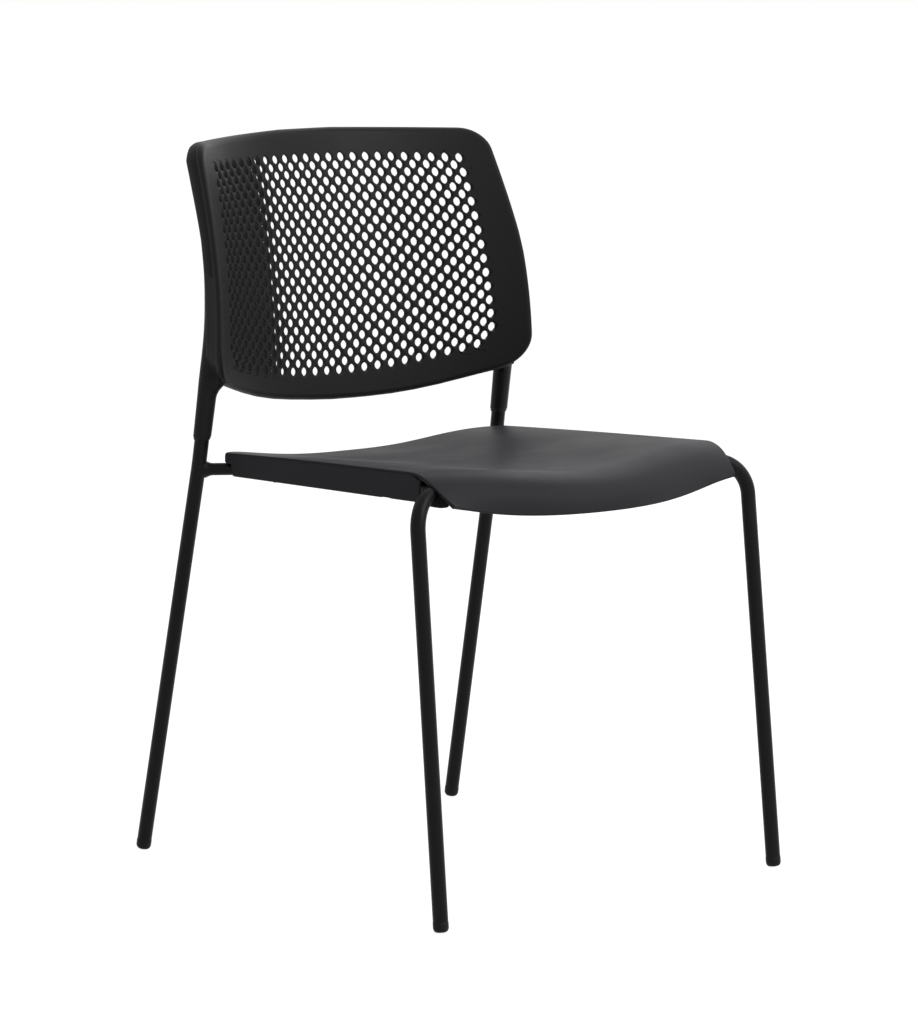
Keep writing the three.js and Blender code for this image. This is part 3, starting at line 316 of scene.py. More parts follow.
# The world is white to the camera and to reflections, and lights the object less.
def makeWorld():
    world = bpy.data.worlds.new("studio")
    bpy.context.scene.world = world
    world.use_nodes = True
    tree = world.node_tree
    tree.nodes.clear()
    lit, seen = [addNode(tree, "Background", {"Color": studio["white"], "Strength": strength}).outputs[0]
                 for strength in (studio["worldLight"], 1)]
    pick = addNode(tree, "MixShader", {"Fac": seenRay(tree), 1: lit, 2: seen})
    addNode(tree, "OutputWorld", {"Surface": pick.outputs[0]})


# Area lamps aimed at the middle of the chair.
def makeLamps():
    for name, lamp in studio["lamps"].items():
        data = bpy.data.lights.new(name, "AREA")
        data.energy = lamp["power"]
        data.size = lamp["size"]
        placeAimed(name, data, lamp["place"], Vector(studio["aim"]) - Vector(lamp["place"]))


placeCamera()
makeFloor()
makeWorld()
makeLamps()
bpy.context.scene.view_settings.view_transform = "Standard"
print("camera and studio placed")

# Tube frame.

tube = dict(
    radius=8.2, around=48, straightStep=40, glideTop=12.0, uprightEnd=690.0,
    rearFoot=(231.8, 269.3, 0), knee=(220.1, 173.5, 450), waist=(215, 139.7, 654),
    uprightTop=(212.7, 173.5, 742), rearBends=(200, 300),
    frontFoot=(245, -269.3, 0), shoulder=(240.3, -223.9, 455.6), elbow=(172, -200, 455.6),
    tail=(178, 125, 446.2), join=(220.2, 174.4, 444.3), frontBends=(40, 38, 40),
    tailRadius=6.9, taperFrom=92.0, taperTo=118.0,
    filletFrom=17.0, filletTo=8.5, filletRise=2.6, filletSteps=9, insideHost=(4.0, 0.0),
    crossRadius=5.0, crossAround=36, frontCross=(-150.0, 448.0), rearCross=(92.0, 440.1),
    weldRadius=1.36, weldStart=30, weldSteps=120, weldAround=10, weldRipples=36, weldRipple=0.12,
)


# The bent route through named corners, mirrored to one side.
def tubeRoute(names, bends, side):
    corners = [np.array(tube[name], float) * (side, 1, 1) for name in names]
    return bentRoute(corners, tube[bends], straightStep=tube["straightStep"])


# Rear leg and upright, from the floor to the top of the back.
def rearRoute(side):
    return tubeRoute(("rearFoot", "knee", "waist", "uprightTop"), "rearBends", side)


# Front leg and seat rail, from the floor to the rear leg.
def frontRoute(side):
    return tubeRoute(("frontFoot", "shoulder", "elbow", "tail", "join"), "frontBends", side)


# Place on a rising route at a height.
def routeAt(points, height):
    return np.array([np.interp(height, points[:, 2], points[:, axis]) for axis in range(3)])


# The bead where a bar meets a host bar square to it. Rays along the first bar's skin stop on the host's cylinder (the
# nearer root of a quadratic), and a small rippled circle is carried along the stops.
def weldBead(barEnd, barDirection, barRadius, hostPoint, hostDirection, hostRadius):
    swing = fullTurn(tube["weldSteps"])
    side = unit(np.cross(barDirection, askew["weld"]))
    up = np.cross(barDirection, side)
    rim = barEnd + barRadius * (side * np.cos(swing)[:, None] + up * np.sin(swing)[:, None])
    offset = rim - hostPoint
    offset = offset - hostDirection * (offset @ hostDirection)[:, None]
    b = offset @ barDirection
    c = np.sum(offset * offset, axis=1) - hostRadius ** 2
    reach = -b - np.sqrt(np.maximum(b * b - c, 0))
    path = rim + barDirection * reach[:, None]
    closed = np.concatenate([path[-1:], path, path[:1]])
    along = unit(np.gradient(closed, axis=0)[1:-1])
    outward = path - path.mean(axis=0)
    outward = unit(outward - along * np.sum(outward * along, axis=1)[:, None])
    lift = np.cross(along, outward)
    turn = fullTurn(tube["weldAround"])[None, :, None]
    width = tube["weldRadius"] * (1 + tube["weldRipple"] * np.sin(swing * tube["weldRipples"]))[:, None, None]
    rings = path[:, None] + width * (outward[:, None] * np.cos(turn) + lift[:, None] * np.sin(turn))
    return rings.reshape(-1, 3), gridFaces(len(path), tube["weldAround"], closedRows=True, closedColumns=True)


# The rail's radius eases down to the tail's, then widens at the rear leg by the square of the way into the fillet.
def makeLegs():
    for hand, side in sides:
        rear = rearRoute(side)
        upper = rear[1:][rear[1:, 2] < tube["uprightEnd"]]
        points = np.concatenate([[routeAt(rear, tube["glideTop"])], upper])
        makePiece("rear_leg_" + hand, *roundSkin(points, tube["radius"], tube["around"], True), "tube_paint")
        front = frontRoute(side)
        begin, end = tube["filletFrom"], tube["filletTo"]
        away = np.concatenate([np.linspace(begin, end, tube["filletSteps"]), tube["insideHost"]])
        tail = front[-1] - unit(front[-1] - front[-2]) * away[:, None]
        points = np.concatenate([[routeAt(front[:2], tube["glideTop"])], front[1:-1], tail])
        radii = mix(tube["radius"], tube["tailRadius"], ease(points[:, 1], tube["taperFrom"], tube["taperTo"]))
        radii[-len(away):] += tube["filletRise"] * np.clip((begin - away) / (begin - end), 0, 1) ** 2
        makePiece("front_leg_rail_" + hand, *roundSkin(points, radii, tube["around"], True), "tube_paint")


# Cross tubes with a bead at each end. The rail's place is a share of the way from elbow to tail.
def makeCrossTubes():
    elbow, tail = np.array(tube["elbow"], float), np.array(tube["tail"], float)
    for name in ("front", "rear"):
        y, height = tube[name + "Cross"]
        rail = mix(elbow, tail, (y - elbow[1]) / (tail[1] - elbow[1]))
        half = rail[0]
        line = np.array([(-half, y, height), (0, y, height), (half, y, height)])
        bar = roundSkin(line, tube["crossRadius"], tube["crossAround"])
        beads = [weldBead(np.array([side * (half - tube["weldStart"]), y, height]), np.array([side, 0, 0]),
                          tube["crossRadius"], np.array([side * half, y, rail[2]]), np.array([0, 1.0, 0]),
                          tube["radius"]) for hand, side in sides]
        makePiece(name + "_cross_tube", *joined(bar, *beads), "tube_paint")


makeLegs()
makeCrossTubes()
print("tube frame made")

# Glides.

glide = dict(
    radius=8.45, stem=6.2, floorRadius=4.6, domeStart=0.9, domeRise=5.2, domeSteps=9,
    collarStart=8.4, top=12.2, edgeInset=0.5, edgeDrop=0.6, around=48, crease=40,
)


# A domed cap: a profile of (radius, height) pairs turned about the tube's line. It is a quarter ellipse from the floor
# up to a short collar with a softened top edge.
def glideSkin(start, way):
    swing = np.linspace(0, np.pi / 2, glide["domeSteps"])
    dome = np.stack([mix(glide["floorRadius"], glide["radius"], np.sin(swing)),
                     glide["domeRise"] * (1 - np.cos(swing)) + glide["domeStart"]], -1)
    collar = [(glide["radius"], glide["collarStart"]), (glide["radius"], glide["top"] - glide["edgeDrop"]),
              (glide["radius"] - glide["edgeInset"], glide["top"]), (glide["stem"], glide["top"])]
    radius, height = np.concatenate([dome, collar]).T[..., None, None]
    side = unit(np.cross(way, askew["turned"]))
    swing = fullTurn(glide["around"])[:, None]
    circle = side * np.cos(swing) + np.cross(way, side) * np.sin(swing)
    return tubeSkin(start + height * way + radius * circle)


# A cap on each foot, in line with its tube, with nothing below the floor.
def makeGlides():
    for hand, side in sides:
        for name, route in (("rear", rearRoute(side)), ("front", frontRoute(side))):
            points, faces = glideSkin(route[0], unit(route[1] - route[0]))
            points[:, 2] = np.maximum(points[:, 2], 0.0)
            makePiece(f"{name}_glide_{hand}", points, faces, "glide_plastic", glide["crease"])


makeGlides()
print("glides made")

# Back: one curved face carries the panel and the frame. Pairs in names that end in s are for right and left.

back = dict(
    midHeight=660.0, midY=220.8, reach=120.0, lean=18.7, bow=4.1,
    waistHeight=670.0, waistRadius=314.0, radiusReach=110.0, radiusGrowth=26.0,
    topHeight=814.85, topFalls=(9.8, 4.7), topSpan=424.5, topCorners=(25.0, 27.0),
    sideHeight=680.0, sideSpan=451.5, sideBend=500.0,
    lowHeights=(547.0, 538.5), lowSpan=466.5, lowCorners=(44.0, 43.0),
    sillHeights=(512.3, 505.5), sillSpan=220.0, sillBend=480.0,
    baseHeight=503.2, baseBend=600.0, edgeBend=1100.0, edgeTurn=4, edgeStep=3.0,
    thickness=4.0, ringReach=21.0, rimRound=7.0, rimDepth=8.5, rimWall=3.0,
    rimAngles=(15, 30, 45, 60, 75, 90), rimEdge=0.5, rimSlant=0.7, rimFillet=0.6,
    filletSlant=(0.5, 0.86),
    borderShares=(0, 0.3, 0.65, 1.0), borderInset=13.0, rimGap=0.4,
)


# Front face at places (across, height): a quadratic profile at mid width, swept in plan by a circle whose radius
# grows with the square of the distance from the waist.
def backFace(flat):
    x, z = flat[..., 0], flat[..., 1]
    rise = (z - back["midHeight"]) / back["reach"]
    middle = back["midY"] + back["lean"] * rise + back["bow"] * rise ** 2
    radius = back["waistRadius"] + back["radiusGrowth"] * ((z - back["waistHeight"]) / back["radiusReach"]) ** 2
    return middle - radius + np.sqrt(radius ** 2 - x ** 2)


# Slopes of the front face across and up: half its change over 1 mm to either side.
def backSlopes(flat):
    return [(backFace(flat + step) - backFace(flat - step)) / 2 for step in ((1, 0), (0, 1))]


# Way straight through the back for each step squarely through it: root of 1 plus both slopes squared.
def backGrade(flat):
    slopeX, slopeZ = backSlopes(flat)
    return np.sqrt(1 + slopeX ** 2 + slopeZ ** 2)


# Unit direction out of the front face towards the sitter.
def backOutward(flat):
    slopeX, slopeZ = backSlopes(flat)
    return unit(np.stack([slopeX, -np.ones_like(slopeX), slopeZ], -1))


# Points at a depth straight behind the front face, moved sideways by the lean.
def panelPoints(flat, depth, lean=0.0):
    return np.stack([flat[..., 0] + lean * depth, backFace(flat) + depth, flat[..., 1]], -1)


# Points straight behind the front face by a depth square to it.
def backPoints(flat, depth):
    return panelPoints(flat, depth * backGrade(flat))


# Outline seen from the front, at even steps, with its direction: filleted corners at mid base, four up each side and
# one at mid top.
def backLoop():
    right, left = [[(side * back["sillSpan"] / 2, back["sillHeights"][n], back["sillBend"]),
                    (side * back["lowSpan"] / 2, back["lowHeights"][n], back["lowCorners"][n]),
                    (side * back["sideSpan"] / 2, back["sideHeight"], back["sideBend"]),
                    (side * back["topSpan"] / 2, back["topHeight"] - back["topFalls"][n], back["topCorners"][n])]
                   for n, (hand, side) in enumerate(sides)]
    base, top = (0, back["baseHeight"], back["baseBend"]), (0, back["topHeight"], back["edgeBend"])
    corners = [base] + left + [top] + right[::-1]
    start = (right[0][0] / 2, 0, (right[0][1] + back["baseHeight"]) / 2)
    loop = [start] + [(x, 0, z) for x, z, radius in corners] + [start]
    points = bentRoute(loop, [radius for x, z, radius in corners], turn=back["edgeTurn"])[:-1][:, [0, 2]]
    closed = np.concatenate([points, points[:1]])
    length = np.concatenate([[0], np.cumsum(np.linalg.norm(np.diff(closed, axis=0), axis=1))])
    even = np.linspace(0, length[-1], int(length[-1] / back["edgeStep"]), endpoint=False)
    flat = np.stack([np.interp(even, length, closed[:, axis]) for axis in (0, 1)], -1)
    return flat, unit(np.roll(flat, -1, axis=0) - np.roll(flat, 1, axis=0))


loopFlat, loopWay = backLoop()


# The outline moved inwards by an inset, one for all points or one for each.
def insetLoop(inset):
    return loopFlat + np.stack([-loopWay[:, 1], loopWay[:, 0]], -1) * np.asarray(inset, float)[..., None]


field = dict(
    lastRow=26, lastStep=23, quarter=3,
    top=780.3, fall=(-237.1, -10.7, 5.6), sideLift=(-4.1, 18.7, 12.7),
    halfSpan=(179.0, 21.6, -7.8), squeeze=(10.0, 3.5),
    holeWidth=4.75, holeNarrowing=-0.4, holeHeight=(5.05, 0.3, 0.9), shortFrom=0.15,
    holeShear=(0.15, -0.12, -0.09),
    mouth=0.5, mouthSpread=1.09, mouthNormal=(0.94, 0.34), wallNormal=(0.1, 1),
    thinDepth=3.7, thickDepth=6.8, halfWidth=190, thickShares=(0.36, 0.5),
    lean=0.32, leanShares=(0.3, 0.5), grid=2000,
)


# Where a place in the pattern, across -1 to 1 and down 0 to 1, lies on the back. The height is a cubic in down plus
# across squared times a quadratic; the width is a quadratic, squeezed at the sides by a cube.
def fieldPlace(across, down):
    fall, lift, span = field["fall"], field["sideLift"], field["halfSpan"]
    height = field["top"] + fall[0] * down + fall[1] * down ** 2 + fall[2] * down ** 3
    height = height + across ** 2 * (lift[0] + lift[1] * down + lift[2] * down ** 2)
    half = span[0] + span[1] * down + span[2] * down ** 2
    squeeze = field["squeeze"][0] + field["squeeze"][1] * down
    return np.stack([across * (half + squeeze) - squeeze * across ** 3, height], -1)


# Hole sites: rows alternate between odd and even steps, and the last row has no end holes.
def holeSites():
    last, foot = field["lastStep"], field["lastRow"]
    row, step = np.meshgrid(np.arange(foot + 1), np.arange(-last, last + 1), indexing="ij")
    keep = (row % 2 == 0) == (np.abs(step) % 2 == 1)
    keep &= ~((row == foot) & (np.abs(step) == last))
    return row[keep], step[keep]


# Straight-through depth of the panel: thin in the middle, thicker towards its sides.
def panelDepth(flat):
    share = ease(np.abs(flat[..., 0]) / field["halfWidth"], *field["thickShares"])
    return mix(field["thinDepth"], field["thickDepth"], share)


# How far a tunnel through the panel leans outwards for each step of depth: none in the middle, more at the sides.
def panelLean(flat):
    x = flat[..., 0]
    return np.sign(x) * field["lean"] * ease(np.abs(x) / field["halfWidth"], *field["leanShares"])


# Points on the same place of a grid finer than a micrometre become one.
def welded(points, faces, normals):
    key = np.round(points * field["grid"]).astype(np.int64)
    first, place = np.unique(key, axis=0, return_index=True, return_inverse=True)[1:]
    return points[first], place.reshape(-1)[faces], normals[first]


# Places along a closed loop, read between its points.
def loopAt(loop, places):
    low = np.floor(places).astype(int)
    share = (places - low)[:, None]
    count = len(loop)
    return loop[low % count] * (1 - share) + loop[(low + 1) % count] * share


# The field's zigzag edge as the cells step along it, and where its four corners are in it. It starts at the top right
# and runs along the top, down the left, along the sill and up the right.
def fieldEdge():
    last, foot, steps = field["lastStep"], field["lastRow"], field["quarter"]
    s = np.arange(-last, last + 1)
    top = np.stack([s, np.where(s % 2 == 1, -1, 0)], -1)
    r = np.arange(0, foot)
    side = np.stack([np.where(r % 2 == 0, last + 1, last), r], -1)
    s = np.arange(last - 1, -last, -1)
    sill = np.stack([s, np.where(s % 2 == 1, foot + 1, foot)], -1)
    corners = np.concatenate([[(-last - 1, 0)], top, side, sill, (side * (-1, 1))[:0:-1]]).astype(float)
    marks = np.array([0, len(top) + 1, len(top) + len(side), len(top) + len(side) + len(sill) + 1]) * steps
    share = (np.arange(steps) / steps)[None, :, None]
    sites = mix(corners[:, None], np.roll(corners, -1, axis=0)[:, None], share).reshape(-1, 2)
    return fieldPlace(sites[:, 0] / last, sites[:, 1] / foot), marks


# The holes. The corners of a hole's diamond cell are the empty sites round it, so the cells tile the field. The skin
# runs from the cell's edge over the mouth and the wall to the rear edge. A hole is a sheared ellipse, narrower where
# the face turns away and shorter on the right.
def holeSkin():
    row, step = holeSites()
    last, foot, steps = field["lastStep"], field["lastRow"], field["quarter"]
    corners = np.array([(1, 0), (0, -1), (-1, 0), (0, 1), (1, 0)], float)
    share = (np.arange(steps) / steps)[None, :, None]
    cell = mix(corners[:4, None], corners[1:, None], share).reshape(-1, 2)
    edge = fieldPlace((step[:, None] + cell[:, 0]) * (1 / last), (row[:, None] + cell[:, 1]) * (1 / foot))
    across, down = step[:, None] * (1 / last), row[:, None] * (1 / foot)
    centre = fieldPlace(across, down)
    swing = np.arctan2(edge[..., 1] - centre[..., 1], edge[..., 0] - centre[..., 0])
    slope = backSlopes(centre)[0]
    width = field["holeWidth"] * (1 + slope ** 2) ** field["holeNarrowing"]
    tall, shear = field["holeHeight"], field["holeShear"]
    rise = np.sin(swing) * (tall[0] + tall[1] * across - tall[2] * np.maximum(-across - field["shortFrom"], 0))
    tilt = shear[0] + shear[1] * down + shear[2] * across
    circle = np.stack([np.cos(swing) * width - tilt * rise, rise], -1)
    wall, mouth = centre + circle, centre + circle * field["mouthSpread"]
    depth, lean, deep = panelDepth(centre), panelLean(centre), field["mouth"]
    (mouthFace, mouthSide), (wallFace, wallSide) = field["mouthNormal"], field["wallNormal"]
    layers = [
        (edge, 0, panelLean(edge), 1, 0),
        (mouth, 0, lean, mouthFace, mouthSide),
        (wall, deep, lean, wallFace, wallSide),
        (wall, depth - deep, lean, -wallFace, wallSide),
        (mouth, depth, lean, -mouthFace, mouthSide),
        (edge, panelDepth(edge), panelLean(edge), -1, 0),
    ]
    outward = backOutward(edge)
    inward = np.stack([-np.cos(swing), 0 * swing, -np.sin(swing)], -1)
    points = np.stack([panelPoints(flat, down, lean) for flat, down, lean, a, b in layers]).reshape(-1, 3)
    normals = np.stack([outward * a + inward * b for flat, down, lean, a, b in layers]).reshape(-1, 3)
    index = np.arange(len(points)).reshape(len(layers), len(row), -1)
    after = np.roll(index, -1, axis=2)
    faces = np.stack([index[:-1], after[:-1], after[1:], index[1:]], -1).reshape(-1, 4)
    return points, normals, faces


# Places on the outline for the points of the field's edge: corners go to corners, the rest is shared out evenly.
def edgePlaces(ring, marks):
    count, around = len(ring), len(loopFlat)
    marks = np.sort((count - 1 - marks) % count)
    low, top = back["lowSpan"] / 2, back["topSpan"] / 2
    goals = np.array([(-low, back["lowHeights"][0]), (low, back["lowHeights"][1]),
                      (top, back["topHeight"]), (-top, back["topHeight"])])
    nearest = np.array([np.argmin(np.linalg.norm(loopFlat - goal, axis=1)) for goal in goals])
    start = np.argmin(np.linalg.norm(ring[marks] - goals[0], axis=1))
    first = marks[start]
    ringPlaces = (np.roll(marks, -start) - first) % count
    loopPlaces = (nearest - nearest[0]) % around
    steps = (np.arange(count) - first) % count
    return np.interp(steps, np.append(ringPlaces, count), np.append(loopPlaces, around)) + nearest[0]


# The border: loops that change from the field's edge to the outline, round the rim, and back behind it. A rim loop
# has an inset, a depth, and how much its normal points out of the face and out of the outline.
def borderSkin(start):
    ring, marks = fieldEdge()
    ring = ring[::-1]
    places = edgePlaces(ring, marks)
    out = loopAt(np.stack([loopWay[:, 1], 0 * loopWay[:, 0], -loopWay[:, 0]], -1), places)
    near = loopAt(insetLoop(back["ringReach"]), places)
    rim, deep, wall, thick = back["rimRound"], back["rimDepth"], back["rimWall"], back["thickness"]
    border = [mix(ring, near, share) for share in back["borderShares"]]
    border += [loopAt(insetLoop(inset), places) for inset in (back["borderInset"], rim + back["rimGap"])]
    frontLoops = [panelPoints(flat, 0) for flat in border]
    frontNormals = [backOutward(flat) for flat in border]
    rims = [(rim * (1 - np.sin(a)), rim * (1 - np.cos(a)), np.cos(a), np.sin(a)) for a in np.radians(back["rimAngles"])]
    edge, slant, fillet = back["rimEdge"], back["rimSlant"], back["rimFillet"]
    rims += [(0, deep - edge, 0, 1), (edge, deep, -slant, slant), (wall - edge, deep, -slant, -slant),
             (wall, deep - edge, 0, -1), (wall, thick + fillet, -back["filletSlant"][0], -back["filletSlant"][1]),
             (wall + fillet, thick, -1, 0)]
    rimLoops, rimNormals = [], []
    for inset, depth, faceWeight, outWeight in rims:
        flat = loopAt(insetLoop(inset), places)
        rimLoops.append(backPoints(flat, depth))
        rimNormals.append(backOutward(flat) * faceWeight + out * outWeight)
    fieldDepth, rearLoops = panelDepth(ring), []
    for flat, share in zip(border, back["borderShares"] + (1, 1)):
        depth = fieldDepth * (1 - share) + thick * backGrade(flat) * share
        rearLoops.append(panelPoints(flat, depth, panelLean(ring) * (1 - share)))
    loops = np.array(frontLoops + rimLoops + rearLoops[::-1])
    normals = np.array(frontNormals + rimNormals + [-n for n in frontNormals[::-1]])
    faces = np.array(gridFaces(len(loops), len(ring), closedColumns=True, start=start))
    return loops.reshape(-1, 3), normals.reshape(-1, 3), faces[:, ::-1]


# The perforated panel: holes and border, welded along the field's edge.
def makePanel():
    holes = holeSkin()
    points, normals, faces = [np.concatenate(pair) for pair in zip(holes, borderSkin(len(holes[0])))]
    points, faces, normals = welded(points, faces, unit(normals))
    makePiece("back_panel", points, faces.tolist(), "panel_plastic", normals=normals)


makePanel()
print("perforated panel made")

# Back frame.

backRing = dict(
    insets=(3.4, 0.5), insetRise=(585.0, 655.0), width=17.0, start=4.3, depth=7.0,
    round=2.2, roundSteps=5, rimGap=0.4, rimMargin=0.35, frontInset=0.6,
    sideHeights=(500.0, 545.0, 600.0, 650.0, 700.0, 755.0, 785.0, 800.0, 812.0),
    sideDepths=(7.0, 9.6, 9.3, 9.2, 8.6, 11.6, 12.8, 8.6, 0.5), sideShares=(0.8, 0.98), crease=50,
)


# How far the ring lies inside the rim: behind a groove low down, flush higher up.
def ringInset(height):
    return mix(*backRing["insets"], ease(height, *backRing["insetRise"]))


# Rear depth of the ring: shallow along the top and the sill, deeper down the sides.
def ringRear(flat):
    sideways = ease(np.abs(flat[:, 0]) / (back["topSpan"] / 2), *backRing["sideShares"])
    extra = np.interp(flat[:, 1], backRing["sideHeights"], backRing["sideDepths"])
    return backRing["start"] + backRing["depth"] + extra * sideways


# The ring: a section with rounded rear edges carried round the outline. Under the panel's rim it starts behind it.
def ringSkin():
    base, width, r, start = ringInset(loopFlat[:, 1]), backRing["width"], backRing["round"], backRing["start"]
    turn = np.linspace(0, np.pi / 2, backRing["roundSteps"])
    rounds = [(base + r * (1 - np.cos(a)), r * (1 - np.sin(a))) for a in turn]
    rounds += [(base + width - r * (1 - np.sin(a)), r * (1 - np.cos(a))) for a in turn]
    behind = back["rimDepth"] + backRing["rimGap"]
    loops = [backPoints(insetLoop(base), mix(start, behind, base < back["rimWall"] + backRing["rimMargin"]))]
    for inset, short in rounds:
        flat = insetLoop(inset)
        loops.append(backPoints(flat, ringRear(flat) - short))
    clear = np.maximum(base, back["rimWall"] + backRing["rimGap"]) + backRing["frontInset"]
    loops += [backPoints(insetLoop(inset), start) for inset in (base + width, clear)]
    return np.array(loops).reshape(-1, 3), gridFaces(len(loops), len(loopFlat), closedRows=True, closedColumns=True)


sleeve = dict(
    low=478.0, high=720.0, footLevels=(0.0, 0.4, 1.2, 2.2, 3.0, 3.6), levelStart=6, levelStep=2.0,
    around=72, heights=(478.0, 481.0, 481.6, 527.0, 545.0, 742.0), radii=(9.3, 9.5, 10.1, 10.7, 11.1, 10.5),
    footInset=0.6, footRise=1.2, boreRadius=8.3, boreDepth=6.0,
    fade=(630.0, 705.0), fadeShare=0.45, grow=(0.25, 0.7), innerTrim=1, frontTrim=0.2,
    widthFrom=552, leastReach=1.5, boxPower=9, boxBlend=(534.0, 574.0), boxShare=(0.55, 0.45),
    boxAbsent=0.1, joinPower=12,
    flare=8.0, flareRise=(524.0, 541.0), flareFall=(543.0, 555.0), flarePower=3,
)


# Distance from the upright's middle to the ring's section, at each level and in each direction: a power mean of the
# distances to its four sides, which rounds its corners.
def boxDistance(section, centre, ray, side):
    spans = np.roll(section, -1, axis=1) - section
    across = unit(np.stack([spans[..., 1], -spans[..., 0]], -1) * side)
    distance = np.maximum(np.sum((section - centre[:, None]) * across, axis=-1), sleeve["leastReach"])
    facing = np.maximum(np.einsum("lij,rj->lir", across, ray) / distance[..., None], 1e-6)
    return np.sum(facing ** sleeve["boxPower"], axis=1) ** (-1 / sleeve["boxPower"])


# Housing round one upright: at each level a section whose distance from the upright's middle is the smooth larger of
# the sleeve's radius and the distance to the ring's section, which comes in by boxBlend. Higher up the middle moves
# to the ring's and the sleeve shrinks (fade). Under the panel the sleeve flares forward.
def housing(side):
    route = rearRoute(side)
    low = sleeve["low"]
    regular = np.arange(low + sleeve["levelStart"], sleeve["high"], sleeve["levelStep"])
    levels = np.concatenate([low + np.array(sleeve["footLevels"]), regular])
    swing = fullTurn(sleeve["around"])
    ray = np.stack([np.cos(swing), np.sin(swing)], -1)
    fade = ease(levels, *sleeve["fade"])

    near = loopFlat[(loopFlat * (side, 1))[:, 0] > 0] * (side, 1)
    near = near[np.argsort(near[:, 1])]
    halfWidth = np.interp(np.maximum(levels, sleeve["widthFrom"]), near[:, 1], near[:, 0])
    inset, grow = ringInset(levels), sleeve["grow"][0] - sleeve["grow"][1] * fade
    outer = side * (halfWidth - inset + grow)
    inner = side * (halfWidth - inset - backRing["width"] - grow + sleeve["innerTrim"])
    front, rear = backRing["start"] + sleeve["frontTrim"], ringRear(np.stack([outer, levels], -1)) + grow
    section = np.stack([backPoints(np.stack([x, levels], -1), depth)[:, :2]
                        for x, depth in ((outer, front), (outer, rear), (inner, rear), (inner, front))], 1)

    centre = routeAt(route, levels)[:2].T
    centre = mix(centre, section.mean(axis=1), fade[:, None])
    blend = ease(levels, *sleeve["boxBlend"])[:, None]
    box = boxDistance(section, centre, ray, side) * (sleeve["boxShare"][0] + sleeve["boxShare"][1] * blend)
    box = np.where(blend > 0, box, sleeve["boxAbsent"])
    pipe = np.interp(levels, sleeve["heights"], sleeve["radii"])[:, None] * (1 - sleeve["fadeShare"] * fade[:, None])
    power = sleeve["joinPower"]
    reach = (box ** power + pipe ** power) ** (1 / power)

    forward = unit(backOutward(np.stack([inner, levels], -1))[:, :2])
    start, end = sleeve["flareRise"]
    flare = sleeve["flare"] * np.clip((levels - start) / (end - start), 0, 1) ** 2
    flare = flare * (1 - ease(levels, *sleeve["flareFall"]))
    reach = reach + flare[:, None] * np.clip(forward @ ray.T, 0, 1) ** sleeve["flarePower"]
    fromFoot = np.clip((low + sleeve["footRise"] - levels) / sleeve["footRise"], 0, 1)[:, None]
    reach = reach * (1 - sleeve["footInset"] * fromFoot ** 2 / pipe)

    plan = centre[:, None] + ray[None] * reach[..., None]
    rings = np.concatenate([plan, np.broadcast_to(levels[:, None, None], plan.shape[:2] + (1,))], -1)
    bore = rings[0].copy()
    bore[:, :2] = centre[0] + ray * sleeve["boreRadius"]
    return tubeSkin(np.concatenate([[bore + (0, 0, sleeve["boreDepth"]), bore], rings]))


# Ring and both housings.
def makeBackFrame():
    bodies = [ringSkin()] + [housing(side) for hand, side in sides]
    makePiece("back_frame", *joined(*bodies), "back_frame_plastic", backRing["crease"])


makeBackFrame()
print("back frame made")

# Seat. Pairs of numbers for the dish are for rear and crest.

seat = dict(
    sideHeight=475.2, rearDrop=9.3, crestSideY=-186.0, crestMiddleY=-212.0,
    rearY=142.0, rearBow=40.0, rearBowPower=6, frontHalf=218.0, rearHalf=205.4,
    dish=(18.0, 13.5), dishShare=(1.17, 0.9), dishPower=(3.1, 2.0), centreRise=1.5,
    thickness=4.5, rearRoll=3.5, rollAngles=(0.35, 0.75, 1.15, np.pi / 2), flangeStart=2.0,
    rearFlange=10.0, softEdge=3.0, softDrop=0.9, edgeSteps=7, crease=55,
    lipMiddle=(-266.9, 422.8), lipBendY=(62.4, -39.3), lipBendZ=(3.1, 21.1, -4.5), lipBendHalf=200,
    lipHalf=205.0, lipControls=((0, 0), (0.62, -0.02), (1.1, 0.26), (1, 1)),
    lipEndControls=((0, 0), (0.42, 0), (0.68, 0.58), (1, 1)), lipEndPower=6,
    acrossRuns=((-1, -0.975, 7), (-0.96, 0.96, 79), (0.975, 1, 7)),
    alongRuns=((0, 0.06, 12), (0.075, 0.94, 60), (0.955, 1, 5), (1.02, 2, 44)),
)


# Share of the way from the crest (0) to the rear (1) along the seat's side.
def seatShare(y):
    return (y - seat["crestSideY"]) / (seat["rearY"] - seat["crestSideY"])


# Height of the seat's side edge: a straight line that falls to the rear.
def seatSideLine(y):
    return seat["sideHeight"] - seat["rearDrop"] * seatShare(y)


# Half the seat's width: a straight line from the crest to the rear.
def seatHalf(y):
    return mix(seat["frontHalf"], seat["rearHalf"], seatShare(y))


# How far the seat has risen from its middle to its side: a power of a sine, wider and squarer at the rear (0) than at
# the crest (1).
def dishShare(across, top):
    width, power = [mix(*seat[name], top) for name in ("dishShare", "dishPower")]
    return np.sin(np.pi / 2 * np.minimum(np.abs(across) / width, 1)) ** power


# The rear edge: bowed back in the middle by one minus a power of the place across.
def rearLine(across):
    return seat["rearY"] + seat["rearBow"] * (1 - np.abs(across) ** seat["rearBowPower"])


# The crest: furthest forward in the middle, further back at the sides.
def crestLine(across):
    return mix(seat["crestMiddleY"], seat["crestSideY"], dishShare(across, 1))


